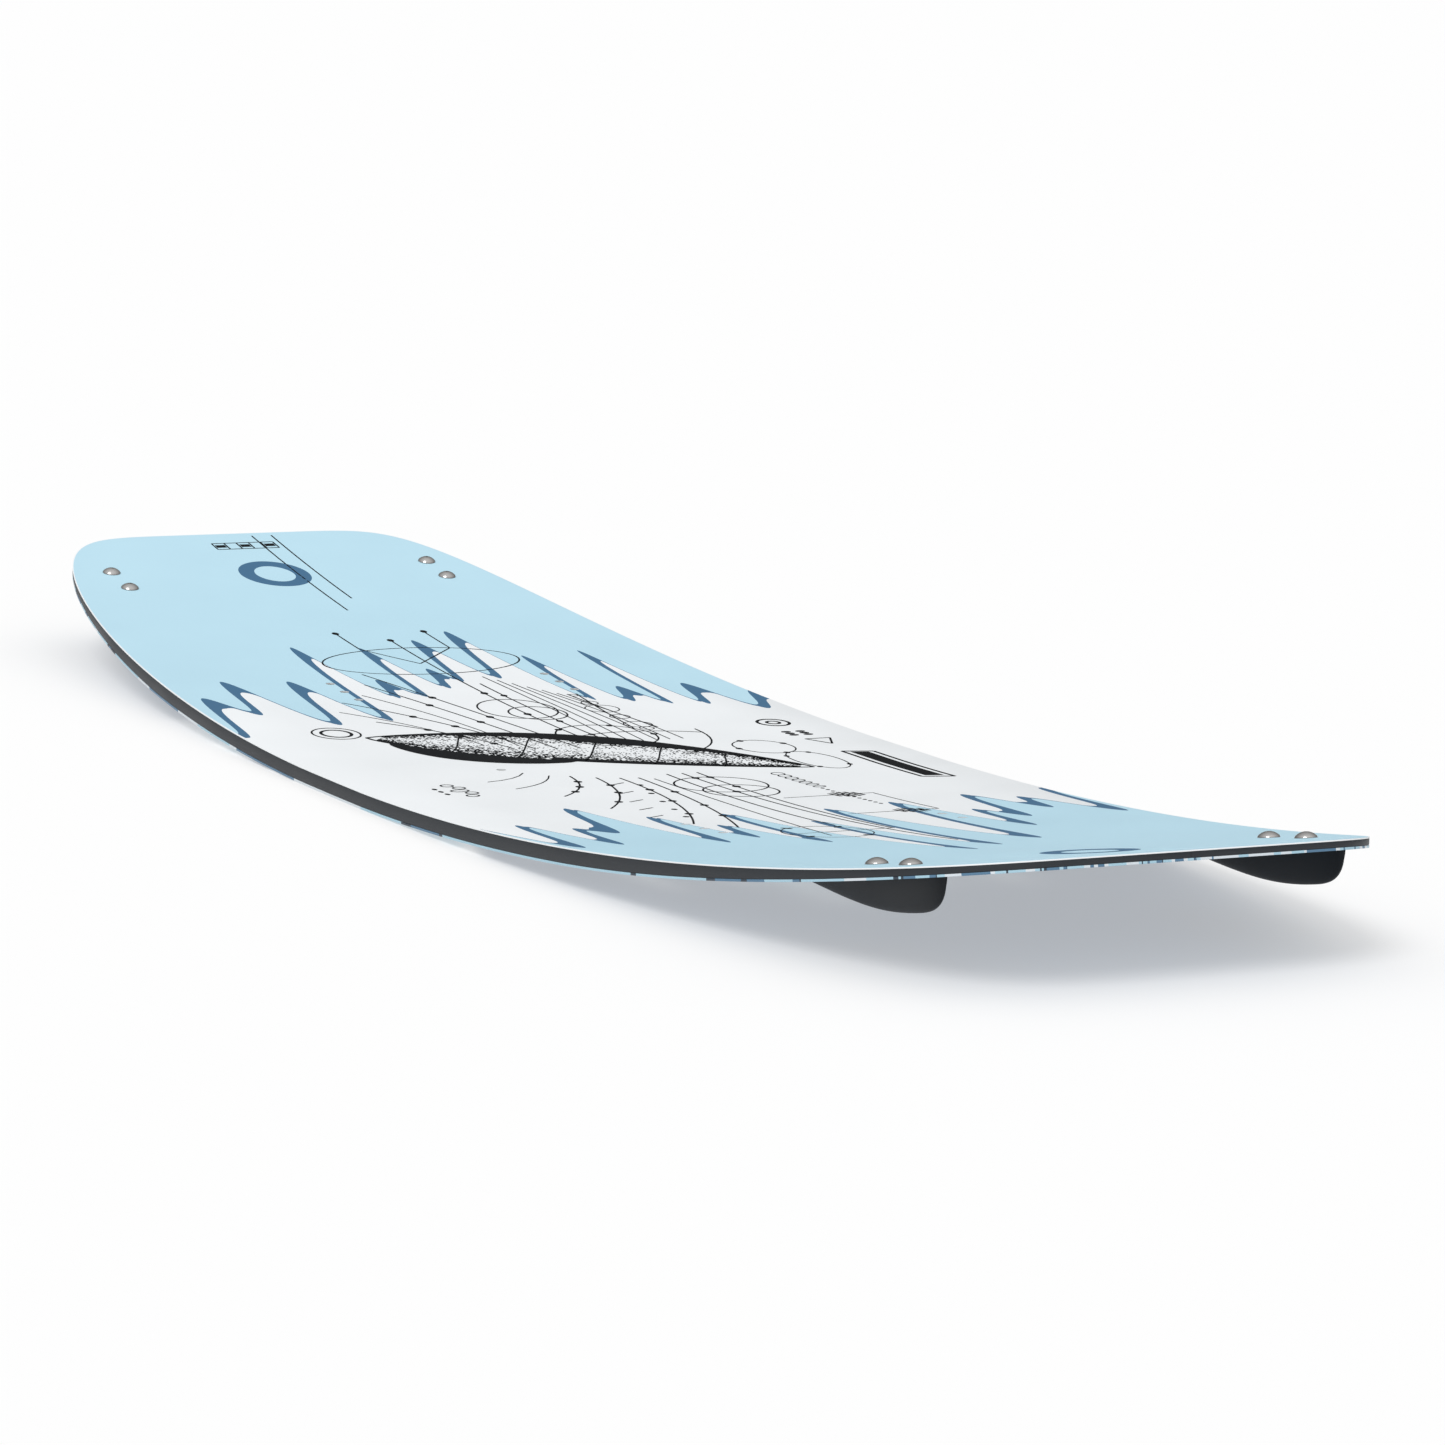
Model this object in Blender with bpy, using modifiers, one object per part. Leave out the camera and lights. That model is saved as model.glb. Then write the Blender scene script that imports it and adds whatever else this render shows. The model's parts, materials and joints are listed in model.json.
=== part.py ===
"""Twin-tip kiteboard: a layered, rockered board with four screwed-on fins.

Frame: +X runs along the board, +Y across it and +Z up from the deck. The origin is the middle of the base, the
board's lowest point, so the board rests on its belly at z = 0. All sizes are in metres.

The board is a pressed sandwich: top sheet, laminate, wood core inside a sidewall, laminate and base sheet. Every
layer follows the same rocker, drawn as flat facets between stations along the board, so that the layers, the
screws and the fins meet on flat ground.
"""

import math

import bmesh
import bpy
from mathutils import Matrix, Vector

# Outline
LENGTH = 1.380
MIDDLE_HALF_WIDTH = 0.210
TIP_WIDTH_LOSS = 0.0476
END_POWER = 5.72
SIDE_POWER = 7.45
OUTLINE_STEP = 0.090
OUTLINE_TURN = math.radians(8)
POINTS_PER_QUARTER = 20

# Rocker and thickness
TIP_RISE = 0.0655
ROCKER_POWER = 2.128
MIDDLE_THICKNESS = 0.0110
TIP_THINNING = 0.0051
TAPER_START = 0.32
TAPER_LENGTH = 0.40
STATIONS = (0.05, 0.11, 0.17, 0.235, 0.315, 0.37, 0.42, 0.465, 0.51, 0.55, 0.63, 0.66, 0.69)

# Layers, from the deck down. The core takes what the thin layers leave.
GAP = 0.0003
SHEET = 0.0005
LAMINATE = 0.0005
BASE = 0.0006
SIDEWALL_WIDTH = 0.012

# Fins and the screws that hold them
FIN_SCREW_X = (0.571, 0.609)
FIN_Y = 0.128
FIN_FRONT = 0.485
FIN_DEEPEST = 0.614
FIN_END = 0.648
FIN_DEPTH = 0.0200
FIN_NOSE_DEPTH = 0.0008
FIN_HALF_THICKNESS = 0.0058
FIN_ROUNDING = 0.96
FIN_COLUMNS = 9
FIN_TAIL_COLUMNS = 6
FIN_ROWS = (0.30, 0.55, 0.75, 0.90)
FIN_BLOCK_LENGTH = 0.062
FIN_BLOCK_WIDTH = 0.018

HEAD_RADIUS = 0.00675
HEAD_HEIGHT = 0.0036
HEAD_RIM = 0.0006
SHANK_RADIUS = 0.0029
SCREW_LENGTH = 0.016
SCREW_HOLE_RADIUS = 0.0033
FIN_INSERT_RADIUS = 0.0040
FIN_INSERT_BORE = 0.00305
FIN_INSERT_LENGTH = 0.0080
FIN_POCKET_DEPTH = 0.0091

# Threaded inserts in the deck, for the bindings and the grab handle
BINDING_X = (0.250, 0.275, 0.300)
BINDING_Y = 0.0825
HANDLE_Y = 0.090
INSERT_FLANGE_RADIUS = 0.0070
INSERT_FLANGE = 0.0012
INSERT_BODY_RADIUS = 0.0050
INSERT_BORE = 0.0026
INSERT_LENGTH = 0.0060
INSERT_FLOOR = 0.0008
DECK_HOLE_RADIUS = 0.0035

SCREW_SIDES = 16
INSERT_SIDES = 12
CUTTER_REACH = 0.030

MATERIALS = {
    "printed_sheet": ((0.60, 0.78, 0.88), 0.30, 0.0),
    "glass_laminate": ((0.78, 0.80, 0.78), 0.45, 0.0),
    "paulownia": ((0.72, 0.55, 0.36), 0.65, 0.0),
    "sidewall_plastic": ((0.055, 0.062, 0.070), 0.45, 0.0),
    "base_plastic": ((0.50, 0.58, 0.66), 0.30, 0.0),
    "fin_plastic": ((0.015, 0.016, 0.018), 0.40, 0.0),
    "block_plastic": ((0.10, 0.10, 0.11), 0.50, 0.0),
    "stainless": ((0.66, 0.65, 0.63), 0.22, 1.0),
    "brass": ((0.70, 0.52, 0.22), 0.35, 1.0),
}


# ---------------------------------------------------------------- the board's shape

def half_width(x, inset=0.0):
    """Half the board's width at x, for an outline drawn in by inset all round."""
    reach = LENGTH / 2 - inset
    share = min(abs(x) / reach, 1.0)
    side = MIDDLE_HALF_WIDTH - TIP_WIDTH_LOSS * (2 * x / LENGTH) ** 2 - inset
    return side * (1 - share ** END_POWER) ** (1 / SIDE_POWER)


def rocker(x):
    """How far the rocker has lifted the board at x above its middle."""
    return TIP_RISE * (2 * abs(x) / LENGTH) ** ROCKER_POWER


def smooth_deck(x):
    """Height of the deck on the true rocker curve. The flat belly between the first stations is at zero."""
    return MIDDLE_THICKNESS + rocker(x) - rocker(STATIONS[0])


def smooth_base(x):
    """Height of the base: the deck less a thickness that eases off towards the tips."""
    share = min(max((abs(x) - TAPER_START) / TAPER_LENGTH, 0.0), 1.0)
    thickness = MIDDLE_THICKNESS - TIP_THINNING * share * share * (3 - 2 * share)
    return smooth_deck(x) - thickness


def facet(height, x):
    """The height at x on straight facets between stations, and the slope there."""
    stations = (-STATIONS[0],) + STATIONS
    reach = abs(x)
    for low, high in zip(stations, stations[1:]):
        if reach <= high or high == stations[-1]:
            slope = (height(high) - height(low)) / (high - low)
            return height(low) + slope * (reach - low), math.copysign(slope, x) if slope else 0.0


def deck(x):
    return facet(smooth_deck, x)[0]


def base(x):
    return facet(smooth_base, x)[0]


def quarter_outline(inset):
    """Points from a tip's middle to a rail's middle, closest together where the outline bends most."""
    reach = LENGTH / 2 - inset
    samples = 2000
    curve = []
    for i in range(samples + 1):
        share = i / samples
        angle = math.pi / 2 * share * share * (3 - 2 * share)
        x = reach * max(math.cos(angle), 0.0) ** (2 / END_POWER)
        curve.append(Vector((x, half_width(x, inset))))
    curve[0] = Vector((reach, 0.0))
    curve[-1] = Vector((0.0, half_width(0.0, inset)))
    run = [0.0]
    heading = curve[1] - curve[0]
    for start, end in zip(curve, curve[1:]):
        step = end - start
        turn = heading.angle(step, 0.0)
        run.append(run[-1] + step.length / OUTLINE_STEP + turn / OUTLINE_TURN)
        heading = step
    points = []
    index = 0
    for k in range(POINTS_PER_QUARTER):
        target = run[-1] * k / POINTS_PER_QUARTER
        while run[index + 1] < target:
            index += 1
        share = (target - run[index]) / (run[index + 1] - run[index])
        points.append(curve[index].lerp(curve[index + 1], share))
    return points + [curve[-1]]


def half_outline(inset):
    """The outline's +Y half, from the +X tip's middle to the -X tip's middle."""
    quarter = quarter_outline(inset)
    return quarter + [Vector((-p.x, p.y)) for p in reversed(quarter[:-1])]


def full_outline(inset):
    half = half_outline(inset)
    return half + [Vector((p.x, -p.y)) for p in reversed(half[1:-1])]


def rail_outline(side):
    """Plan of one sidewall: half of the ring between the board's outline and its core."""
    outer = half_outline(0.0)
    inner = half_outline(SIDEWALL_WIDTH - GAP)
    ring = outer + inner[::-1]
    return [Vector((p.x, side * max(p.y, GAP / 2))) for p in ring]


def block_outline(x, y, margin):
    """Plan of a fin block: a bar with round ends along the board."""
    radius = FIN_BLOCK_WIDTH / 2 + margin
    straight = (FIN_BLOCK_LENGTH - FIN_BLOCK_WIDTH) / 2
    points = []
    for end, turn in ((straight, -math.pi / 2), (-straight, math.pi / 2)):
        for k in range(7):
            angle = turn + math.pi * k / 6
            points.append(Vector((x + end + radius * math.cos(angle), y + radius * math.sin(angle))))
    return points


# ---------------------------------------------------------------- making objects

def clear_scene():
    for thing in list(bpy.data.objects):
        bpy.data.objects.remove(thing, do_unlink=True)


def new_collection(name, hidden=False):
    collection = bpy.data.collections.new(name)
    bpy.context.scene.collection.children.link(collection)
    collection.hide_render = hidden
    return collection


def material(name):
    found = bpy.data.materials.get(name)
    if found:
        return found
    colour, roughness, metallic = MATERIALS[name]
    made = bpy.data.materials.new(name)
    made.use_nodes = True
    shader = made.node_tree.nodes["Principled BSDF"]
    shader.inputs["Base Color"].default_value = (*colour, 1.0)
    shader.inputs["Roughness"].default_value = roughness
    shader.inputs["Metallic"].default_value = metallic
    return made


def add_piece(name, mesh, finish, place=None):
    piece = bpy.data.objects.new(name, mesh)
    mesh.materials.clear()
    mesh.materials.append(material(finish))
    BOARD.objects.link(piece)
    if place:
        piece.matrix_world = place
    return piece


def add_cutter(name, mesh, collection, place=None):
    cutter = bpy.data.objects.new(name, mesh)
    collection.objects.link(cutter)
    cutter.hide_render = True
    cutter.display_type = "WIRE"
    if place:
        cutter.matrix_world = place
    return cutter


def cut_with(piece, collection):
    """Takes every cutter in the collection out of the piece."""
    cut = piece.modifiers.new(collection.name, "BOOLEAN")
    cut.operation = "DIFFERENCE"
    cut.solver = "EXACT"
    cut.operand_type = "COLLECTION"
    cut.collection = collection


def prism(name, points, half_height):
    """A flat outline, filled and extruded both ways, as a mesh with one face on each side."""
    curve = bpy.data.curves.new(name, "CURVE")
    curve.dimensions = "2D"
    curve.fill_mode = "BOTH"
    curve.extrude = half_height
    spline = curve.splines.new("POLY")
    spline.points.add(len(points) - 1)
    for slot, point in zip(spline.points, points):
        slot.co = (point.x, point.y, 0.0, 1.0)
    spline.use_cyclic_u = True
    drawn = bpy.data.objects.new(name, curve)
    bpy.context.scene.collection.objects.link(drawn)
    graph = bpy.context.evaluated_depsgraph_get()
    mesh = bpy.data.meshes.new_from_object(drawn.evaluated_get(graph))
    mesh.name = name
    bpy.data.objects.remove(drawn, do_unlink=True)
    bm = bmesh.new()
    bm.from_mesh(mesh)
    bmesh.ops.remove_doubles(bm, verts=bm.verts, dist=1e-6)
    bmesh.ops.dissolve_limit(bm, angle_limit=0.001, verts=bm.verts, edges=bm.edges)
    bmesh.ops.recalc_face_normals(bm, faces=bm.faces)
    bm.to_mesh(mesh)
    bm.free()
    return mesh


def plate(name, points, top, bottom, finish):
    """A layer of the board: an outline cut into strips at the stations and bent to its two heights."""
    mesh = prism(name, points, 1.0)
    bm = bmesh.new()
    bm.from_mesh(mesh)
    for station in STATIONS[:-1]:
        for x in (-station, station):
            everything = bm.verts[:] + bm.edges[:] + bm.faces[:]
            bmesh.ops.bisect_plane(bm, geom=everything, dist=1e-6, plane_co=(x, 0, 0), plane_no=(1, 0, 0))
    for vert in bm.verts:
        vert.co.z = top(vert.co.x) if vert.co.z > 0 else bottom(vert.co.x)
    bm.to_mesh(mesh)
    bm.free()
    return add_piece(name, mesh, finish)


def turned(name, profile, sides):
    """A turned piece about +Z. The profile runs down the outer side, top to bottom."""
    mesh = bpy.data.meshes.new(name)
    lines = [(k, k + 1) for k in range(len(profile) - 1)]
    mesh.from_pydata([(r, 0.0, z) for r, z in profile], lines, [])
    return mesh, sides


def spin(piece, sides):
    screw = piece.modifiers.new("turn", "SCREW")
    screw.axis = "Z"
    screw.steps = sides
    screw.render_steps = sides
    screw.use_merge_vertices = True
    screw.merge_threshold = 0.00001
    screw.use_smooth_shade = True


def add_turned(name, profile, sides, finish, place):
    mesh, sides = turned(name, profile, sides)
    piece = add_piece(name, mesh, finish, place)
    spin(piece, sides)
    return piece


def add_turned_cutter(name, profile, sides, collection, place):
    mesh, sides = turned(name, profile, sides)
    cutter = add_cutter(name, mesh, collection, place)
    spin(cutter, sides)
    return cutter


def rod_profile(radius, top, bottom):
    return [(0.0, top), (radius, top), (radius, bottom), (0.0, bottom)]


def seat(x, y, depth):
    """A frame on the deck at x, y: its +Z is the facet's normal, and it lies depth below the deck."""
    height, slope = facet(smooth_deck, x)
    turn = Matrix.Rotation(-math.atan(slope), 4, "Y")
    return Matrix.Translation((x, y, height)) @ turn @ Matrix.Translation((0.0, 0.0, -depth))


# ---------------------------------------------------------------- the pieces

def core_top(x):
    return deck(x) - SHEET - LAMINATE - 2 * GAP


def core_bottom(x):
    return base(x) + BASE + LAMINATE + 2 * GAP


def corners():
    """The four fins' places, by name: which tip, and which rail."""
    for end_name, end in (("left", -1), ("right", 1)):
        for rail_name, rail in (("toe", -1), ("heel", 1)):
            yield f"{end_name}_{rail_name}", end, rail


def deck_insert_places():
    for foot_name, foot in (("left", -1), ("right", 1)):
        for row_name, row in (("toe", -1), ("heel", 1)):
            for number, x in enumerate(BINDING_X, start=1):
                yield f"binding_insert_{foot_name}_{row_name}_{number}", foot * x, row * BINDING_Y
    for row_name, row in (("toe", -1), ("heel", 1)):
        yield f"handle_insert_{row_name}", 0.0, row * HANDLE_Y


def make_cutters():
    """Holes for the fin screws, holes over the deck inserts, and the pockets in the core and the fins."""
    for corner, end, rail in corners():
        block = prism(f"block_pocket_{corner}", block_outline(end * sum(FIN_SCREW_X) / 2, rail * FIN_Y, GAP), 0.2)
        add_cutter(f"block_pocket_{corner}", block, CORE_POCKETS)
        for number, x in enumerate(FIN_SCREW_X, start=1):
            place = seat(end * x, rail * FIN_Y, 0.0)
            hole = rod_profile(SCREW_HOLE_RADIUS, CUTTER_REACH, -CUTTER_REACH)
            add_turned_cutter(f"screw_hole_{corner}_{number}", hole, INSERT_SIDES, SCREW_HOLES, place)
            root = deck(x) - base(x) + GAP
            pocket = rod_profile(FIN_INSERT_RADIUS + GAP, 0.0, -root - FIN_POCKET_DEPTH)
            add_turned_cutter(f"fin_pocket_{corner}_{number}", pocket, SCREW_SIDES, FIN_POCKETS, place)
    pocket = [
        (0.0, CUTTER_REACH),
        (INSERT_FLANGE_RADIUS + GAP, CUTTER_REACH),
        (INSERT_FLANGE_RADIUS + GAP, -INSERT_FLANGE - GAP),
        (INSERT_BODY_RADIUS + GAP, -INSERT_FLANGE - GAP),
        (INSERT_BODY_RADIUS + GAP, -INSERT_LENGTH - GAP),
        (0.0, -INSERT_LENGTH - GAP),
    ]
    for name, x, y in deck_insert_places():
        hole = rod_profile(DECK_HOLE_RADIUS, CUTTER_REACH, -SHEET - LAMINATE - 1.5 * GAP)
        add_turned_cutter(f"{name}_hole", hole, INSERT_SIDES, DECK_HOLES, seat(x, y, 0.0))
        depth = SHEET + LAMINATE + 2 * GAP
        add_turned_cutter(f"{name}_pocket", pocket, INSERT_SIDES, CORE_POCKETS, seat(x, y, depth))


def make_layers():
    outline = full_outline(0.0)
    top_sheet = plate("top_sheet", outline, deck, lambda x: deck(x) - SHEET, "printed_sheet")
    laminate_top = lambda x: deck(x) - SHEET - GAP
    top_laminate = plate("top_laminate", outline, laminate_top, lambda x: laminate_top(x) - LAMINATE,
                         "glass_laminate")
    for layer in (top_sheet, top_laminate):
        cut_with(layer, SCREW_HOLES)
        cut_with(layer, DECK_HOLES)

    core = plate("wood_core", full_outline(SIDEWALL_WIDTH), core_top, core_bottom, "paulownia")
    cut_with(core, CORE_POCKETS)
    for rail_name, rail in (("toe", -1), ("heel", 1)):
        plate(f"sidewall_{rail_name}", rail_outline(rail), core_top, core_bottom, "sidewall_plastic")

    laminate_bottom = lambda x: base(x) + BASE + GAP
    bottom_laminate = plate("bottom_laminate", outline, lambda x: laminate_bottom(x) + LAMINATE,
                            laminate_bottom, "glass_laminate")
    base_sheet = plate("base_sheet", outline, lambda x: base(x) + BASE, base, "base_plastic")
    for layer in (bottom_laminate, base_sheet):
        cut_with(layer, SCREW_HOLES)


def make_fin_blocks():
    """Solid plastic blocks let into the core, so that the fin screws don't crush the wood."""
    for corner, end, rail in corners():
        outline = block_outline(end * sum(FIN_SCREW_X) / 2, rail * FIN_Y, 0.0)
        block = plate(f"fin_block_{corner}", outline, core_top, core_bottom, "block_plastic")
        cut_with(block, SCREW_HOLES)


def make_deck_inserts():
    profile = [
        (0.0, INSERT_FLOOR - INSERT_LENGTH),
        (INSERT_BORE, INSERT_FLOOR - INSERT_LENGTH),
        (INSERT_BORE, 0.0),
        (INSERT_FLANGE_RADIUS, 0.0),
        (INSERT_FLANGE_RADIUS, -INSERT_FLANGE),
        (INSERT_BODY_RADIUS, -INSERT_FLANGE),
        (INSERT_BODY_RADIUS, -INSERT_LENGTH),
        (0.0, -INSERT_LENGTH),
    ]
    for name, x, y in deck_insert_places():
        add_turned(name, profile, INSERT_SIDES, "stainless", seat(x, y, SHEET + LAMINATE + 2 * GAP))


def fin_depth(x):
    """How far a fin reaches below its root: a long rise from the front, then a round end."""
    if x <= FIN_DEEPEST:
        share = (x - FIN_FRONT) / (FIN_DEEPEST - FIN_FRONT)
        return FIN_NOSE_DEPTH + (FIN_DEPTH - FIN_NOSE_DEPTH) * math.sin(math.pi / 2 * share) ** 1.2
    share = (x - FIN_DEEPEST) / (FIN_END - FIN_DEEPEST)
    return FIN_DEPTH * math.sqrt(1 - share ** 3)


def fin_half_thickness(x, share):
    """Half a fin's thickness at x, for a share of the way down from root to edge."""
    along = 2 * (x - FIN_FRONT) / (FIN_END - FIN_FRONT) - 1
    plan = max(0.2, math.sqrt(1 - along ** 4))
    return FIN_HALF_THICKNESS * plan * math.sqrt(1 - FIN_ROUNDING * share * share)


def make_fin(corner, end, rail):
    """A box cut into columns and rows, then drawn out to the fin's outline and foil."""
    last = FIN_DEEPEST + (FIN_END - FIN_DEEPEST) * math.sin(math.radians(82))
    columns = [FIN_FRONT + (FIN_DEEPEST - FIN_FRONT) * k / FIN_COLUMNS for k in range(1, FIN_COLUMNS + 1)]
    for k in range(1, FIN_TAIL_COLUMNS):
        turn = math.radians(82) * k / FIN_TAIL_COLUMNS
        columns.append(FIN_DEEPEST + (FIN_END - FIN_DEEPEST) * math.sin(turn))
    columns += [x for x in STATIONS if FIN_FRONT < x < last]
    bm = bmesh.new()
    bmesh.ops.create_cube(bm, size=1.0)
    for vert in bm.verts:
        vert.co.x = last if vert.co.x > 0 else FIN_FRONT
        vert.co.y = math.copysign(1.0, vert.co.y)
        vert.co.z = 0.0 if vert.co.z > 0 else -1.0
    for x in sorted(columns):
        everything = bm.verts[:] + bm.edges[:] + bm.faces[:]
        bmesh.ops.bisect_plane(bm, geom=everything, dist=1e-6, plane_co=(x, 0, 0), plane_no=(1, 0, 0))
    for share in FIN_ROWS:
        everything = bm.verts[:] + bm.edges[:] + bm.faces[:]
        bmesh.ops.bisect_plane(bm, geom=everything, dist=1e-6, plane_co=(0, 0, -share), plane_no=(0, 0, 1))
    for vert in bm.verts:
        x, side, share = vert.co.x, vert.co.y, -vert.co.z
        vert.co.x = end * x
        vert.co.y = rail * FIN_Y + side * fin_half_thickness(x, share)
        vert.co.z = base(x) - GAP - share * fin_depth(x)
    bmesh.ops.recalc_face_normals(bm, faces=bm.faces)
    place = seat(end * FIN_SCREW_X[0], rail * FIN_Y, 0.0)
    bm.transform(place.inverted())
    mesh = bpy.data.meshes.new(f"fin_{corner}")
    bm.to_mesh(mesh)
    bm.free()
    fin = add_piece(f"fin_{corner}", mesh, "fin_plastic", place)
    cut_with(fin, FIN_POCKETS)


def screw_profile():
    """A low dome head on a plain shank with a chamfered end. z = 0 is the face under the head."""
    rise = HEAD_HEIGHT - HEAD_RIM
    sphere = (HEAD_RADIUS ** 2 + rise ** 2) / (2 * rise)
    sweep = math.asin(HEAD_RADIUS / sphere)
    dome = []
    for k in range(5):
        angle = sweep * k / 4
        dome.append((sphere * math.sin(angle), HEAD_HEIGHT - sphere * (1 - math.cos(angle))))
    chamfer = 0.0006
    return dome + [
        (HEAD_RADIUS, 0.0),
        (SHANK_RADIUS, 0.0),
        (SHANK_RADIUS, chamfer - SCREW_LENGTH),
        (SHANK_RADIUS - chamfer, -SCREW_LENGTH),
        (0.0, -SCREW_LENGTH),
    ]


def make_fin_fixings(corner, end, rail):
    """Two screws from the deck, and the two brass inserts in the fin's root that they bite in."""
    tube = [
        (FIN_INSERT_BORE, 0.0),
        (FIN_INSERT_RADIUS, 0.0),
        (FIN_INSERT_RADIUS, -FIN_INSERT_LENGTH),
        (FIN_INSERT_BORE, -FIN_INSERT_LENGTH),
        (FIN_INSERT_BORE, 0.0),
    ]
    for number, x in enumerate(FIN_SCREW_X, start=1):
        where = (end * x, rail * FIN_Y)
        add_turned(f"fin_screw_{corner}_{number}", screw_profile(), SCREW_SIDES, "stainless",
                   seat(*where, -GAP))
        depth = deck(x) - base(x) + 2 * GAP
        add_turned(f"fin_insert_{corner}_{number}", tube, SCREW_SIDES, "brass", seat(*where, depth))


clear_scene()
BOARD = new_collection("twin_tip_kiteboard")
SCREW_HOLES = new_collection("screw_hole_cutters", hidden=True)
DECK_HOLES = new_collection("deck_hole_cutters", hidden=True)
CORE_POCKETS = new_collection("core_pocket_cutters", hidden=True)
FIN_POCKETS = new_collection("fin_pocket_cutters", hidden=True)

make_cutters()
make_layers()
make_fin_blocks()
make_deck_inserts()
for place_name, tip, side_of_board in corners():
    make_fin(place_name, tip, side_of_board)
    make_fin_fixings(place_name, tip, side_of_board)
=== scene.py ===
# %% [markdown]
# # A twin-tip kiteboard
#
# A kiteboard is a thin, springy sandwich: a printed sheet on top, a wood core with a plastic rail round it,
# and a printed base underneath. Four low fins hang under the corners, each on two screws that come through
# from the deck. This lesson dresses the working model of that board. The board's length and width, the ends
# of its fins and the places of its screws and inserts are read from the frame. The rocker and the thickness
# follow the model's own rules.

# %% Load the frame
import json
import math
import random

import bmesh
import bpy
from mathutils import Matrix, Vector


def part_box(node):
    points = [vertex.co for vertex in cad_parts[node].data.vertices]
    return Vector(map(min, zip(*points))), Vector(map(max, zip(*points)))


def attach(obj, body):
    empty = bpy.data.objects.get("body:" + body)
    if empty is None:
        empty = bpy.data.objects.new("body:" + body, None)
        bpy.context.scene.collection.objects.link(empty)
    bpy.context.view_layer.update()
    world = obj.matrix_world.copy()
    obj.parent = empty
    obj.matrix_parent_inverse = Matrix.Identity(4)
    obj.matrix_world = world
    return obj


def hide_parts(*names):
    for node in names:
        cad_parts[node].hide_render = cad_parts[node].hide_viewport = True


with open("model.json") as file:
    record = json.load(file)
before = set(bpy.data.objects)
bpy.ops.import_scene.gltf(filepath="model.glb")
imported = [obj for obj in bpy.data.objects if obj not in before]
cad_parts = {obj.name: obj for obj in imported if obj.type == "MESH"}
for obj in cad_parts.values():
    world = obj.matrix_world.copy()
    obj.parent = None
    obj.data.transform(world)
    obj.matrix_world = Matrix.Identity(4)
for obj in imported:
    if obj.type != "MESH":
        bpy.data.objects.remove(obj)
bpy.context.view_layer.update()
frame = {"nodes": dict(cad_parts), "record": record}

# %% [markdown]
# ## The board's shape as three rules
#
# Every piece of the board follows the same outline and the same rocker, which is the upward curve from the
# middle to the tips. Three small functions hold them: half the width at a place along the board, the height
# of the deck there, and the height of the base. The base is the deck less the thickness, which eases off to
# the tips. All later pieces call these rules, so they meet without any fitting.

# %% Outline, rocker and thickness
_, deck_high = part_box("top_sheet")
HALF_LENGTH = deck_high[0]
HALF_WIDTH = deck_high[1]
TIP_WIDTH_LOSS = 0.0476
END_POWER = 5.72
SIDE_POWER = 7.45
DECK_MIDDLE = 0.0110
TIP_RISE = 0.0655
ROCKER_POWER = 2.128
BELLY = 0.05
TIP_THINNING = 0.0051
TAPER_START = 0.32
TAPER_LENGTH = 0.40


def half_width(x, inset=0.0):
    reach = HALF_LENGTH - inset
    share = min(abs(x) / reach, 1.0)
    side = HALF_WIDTH - TIP_WIDTH_LOSS * (x / HALF_LENGTH) ** 2 - inset
    return side * (1 - share ** END_POWER) ** (1 / SIDE_POWER)


def edge_at(y, inset):
    """How far along the board the outline crosses the line at y, found by halving."""
    low, high = 0.0, HALF_LENGTH - inset
    for _ in range(40):
        middle = (low + high) / 2
        if half_width(middle, inset) > abs(y):
            low = middle
        else:
            high = middle
    return low


def deck_height(x):
    rise = TIP_RISE * (max(abs(x), BELLY) / HALF_LENGTH) ** ROCKER_POWER
    return DECK_MIDDLE + rise - TIP_RISE * (BELLY / HALF_LENGTH) ** ROCKER_POWER


def base_height(x):
    share = min(max((abs(x) - TAPER_START) / TAPER_LENGTH, 0.0), 1.0)
    return deck_height(x) - DECK_MIDDLE + TIP_THINNING * share * share * (3 - 2 * share)


def deck_slope(x):
    step = 0.0005
    return (deck_height(x + step) - deck_height(x - step)) / (2 * step)


print("tip height", round(deck_height(HALF_LENGTH), 4), "frame says", round(deck_high[2], 4))

# %% [markdown]
# ## Columns along the board
#
# A grid that follows the board needs its columns close together where the outline turns a corner and can have
# them further apart along the straight rails. The corner columns are set by an angle that sweeps the outline,
# and the others stand at even steps.

# %% The columns
CORNER_START = 0.55
CORNER_COLUMNS = 34
EVEN_COLUMNS = 84
TIP_ANGLE = 0.001


def outline_columns():
    widest = math.acos((CORNER_START / HALF_LENGTH) ** (END_POWER / 2))
    corner = []
    for k in range(CORNER_COLUMNS):
        angle = TIP_ANGLE + (widest - TIP_ANGLE) * k / (CORNER_COLUMNS - 1)
        corner.append(HALF_LENGTH * math.cos(angle) ** (2 / END_POWER))
    even = [CORNER_START * (1 - 2 * k / EVEN_COLUMNS) for k in range(1, EVEN_COLUMNS)]
    right_to_left = corner + even + [-x for x in reversed(corner)]
    return right_to_left[::-1]


COLUMNS = outline_columns()
print(len(COLUMNS), "columns")

# %% [markdown]
# ## Helpers for modelling by hand
#
# An operator works on whatever is selected, so each step first selects just its own piece. A shaped grid is
# the main tool: a flat grid is added, and each of its points moves to the place that a rule gives it. A
# modifier is added and applied in one call, so that a finished piece is a plain mesh.

# %% Selecting, shaping and finishing
def only(piece):
    bpy.ops.object.select_all(action="DESELECT")
    piece.select_set(True)
    bpy.context.view_layer.objects.active = piece


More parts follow.
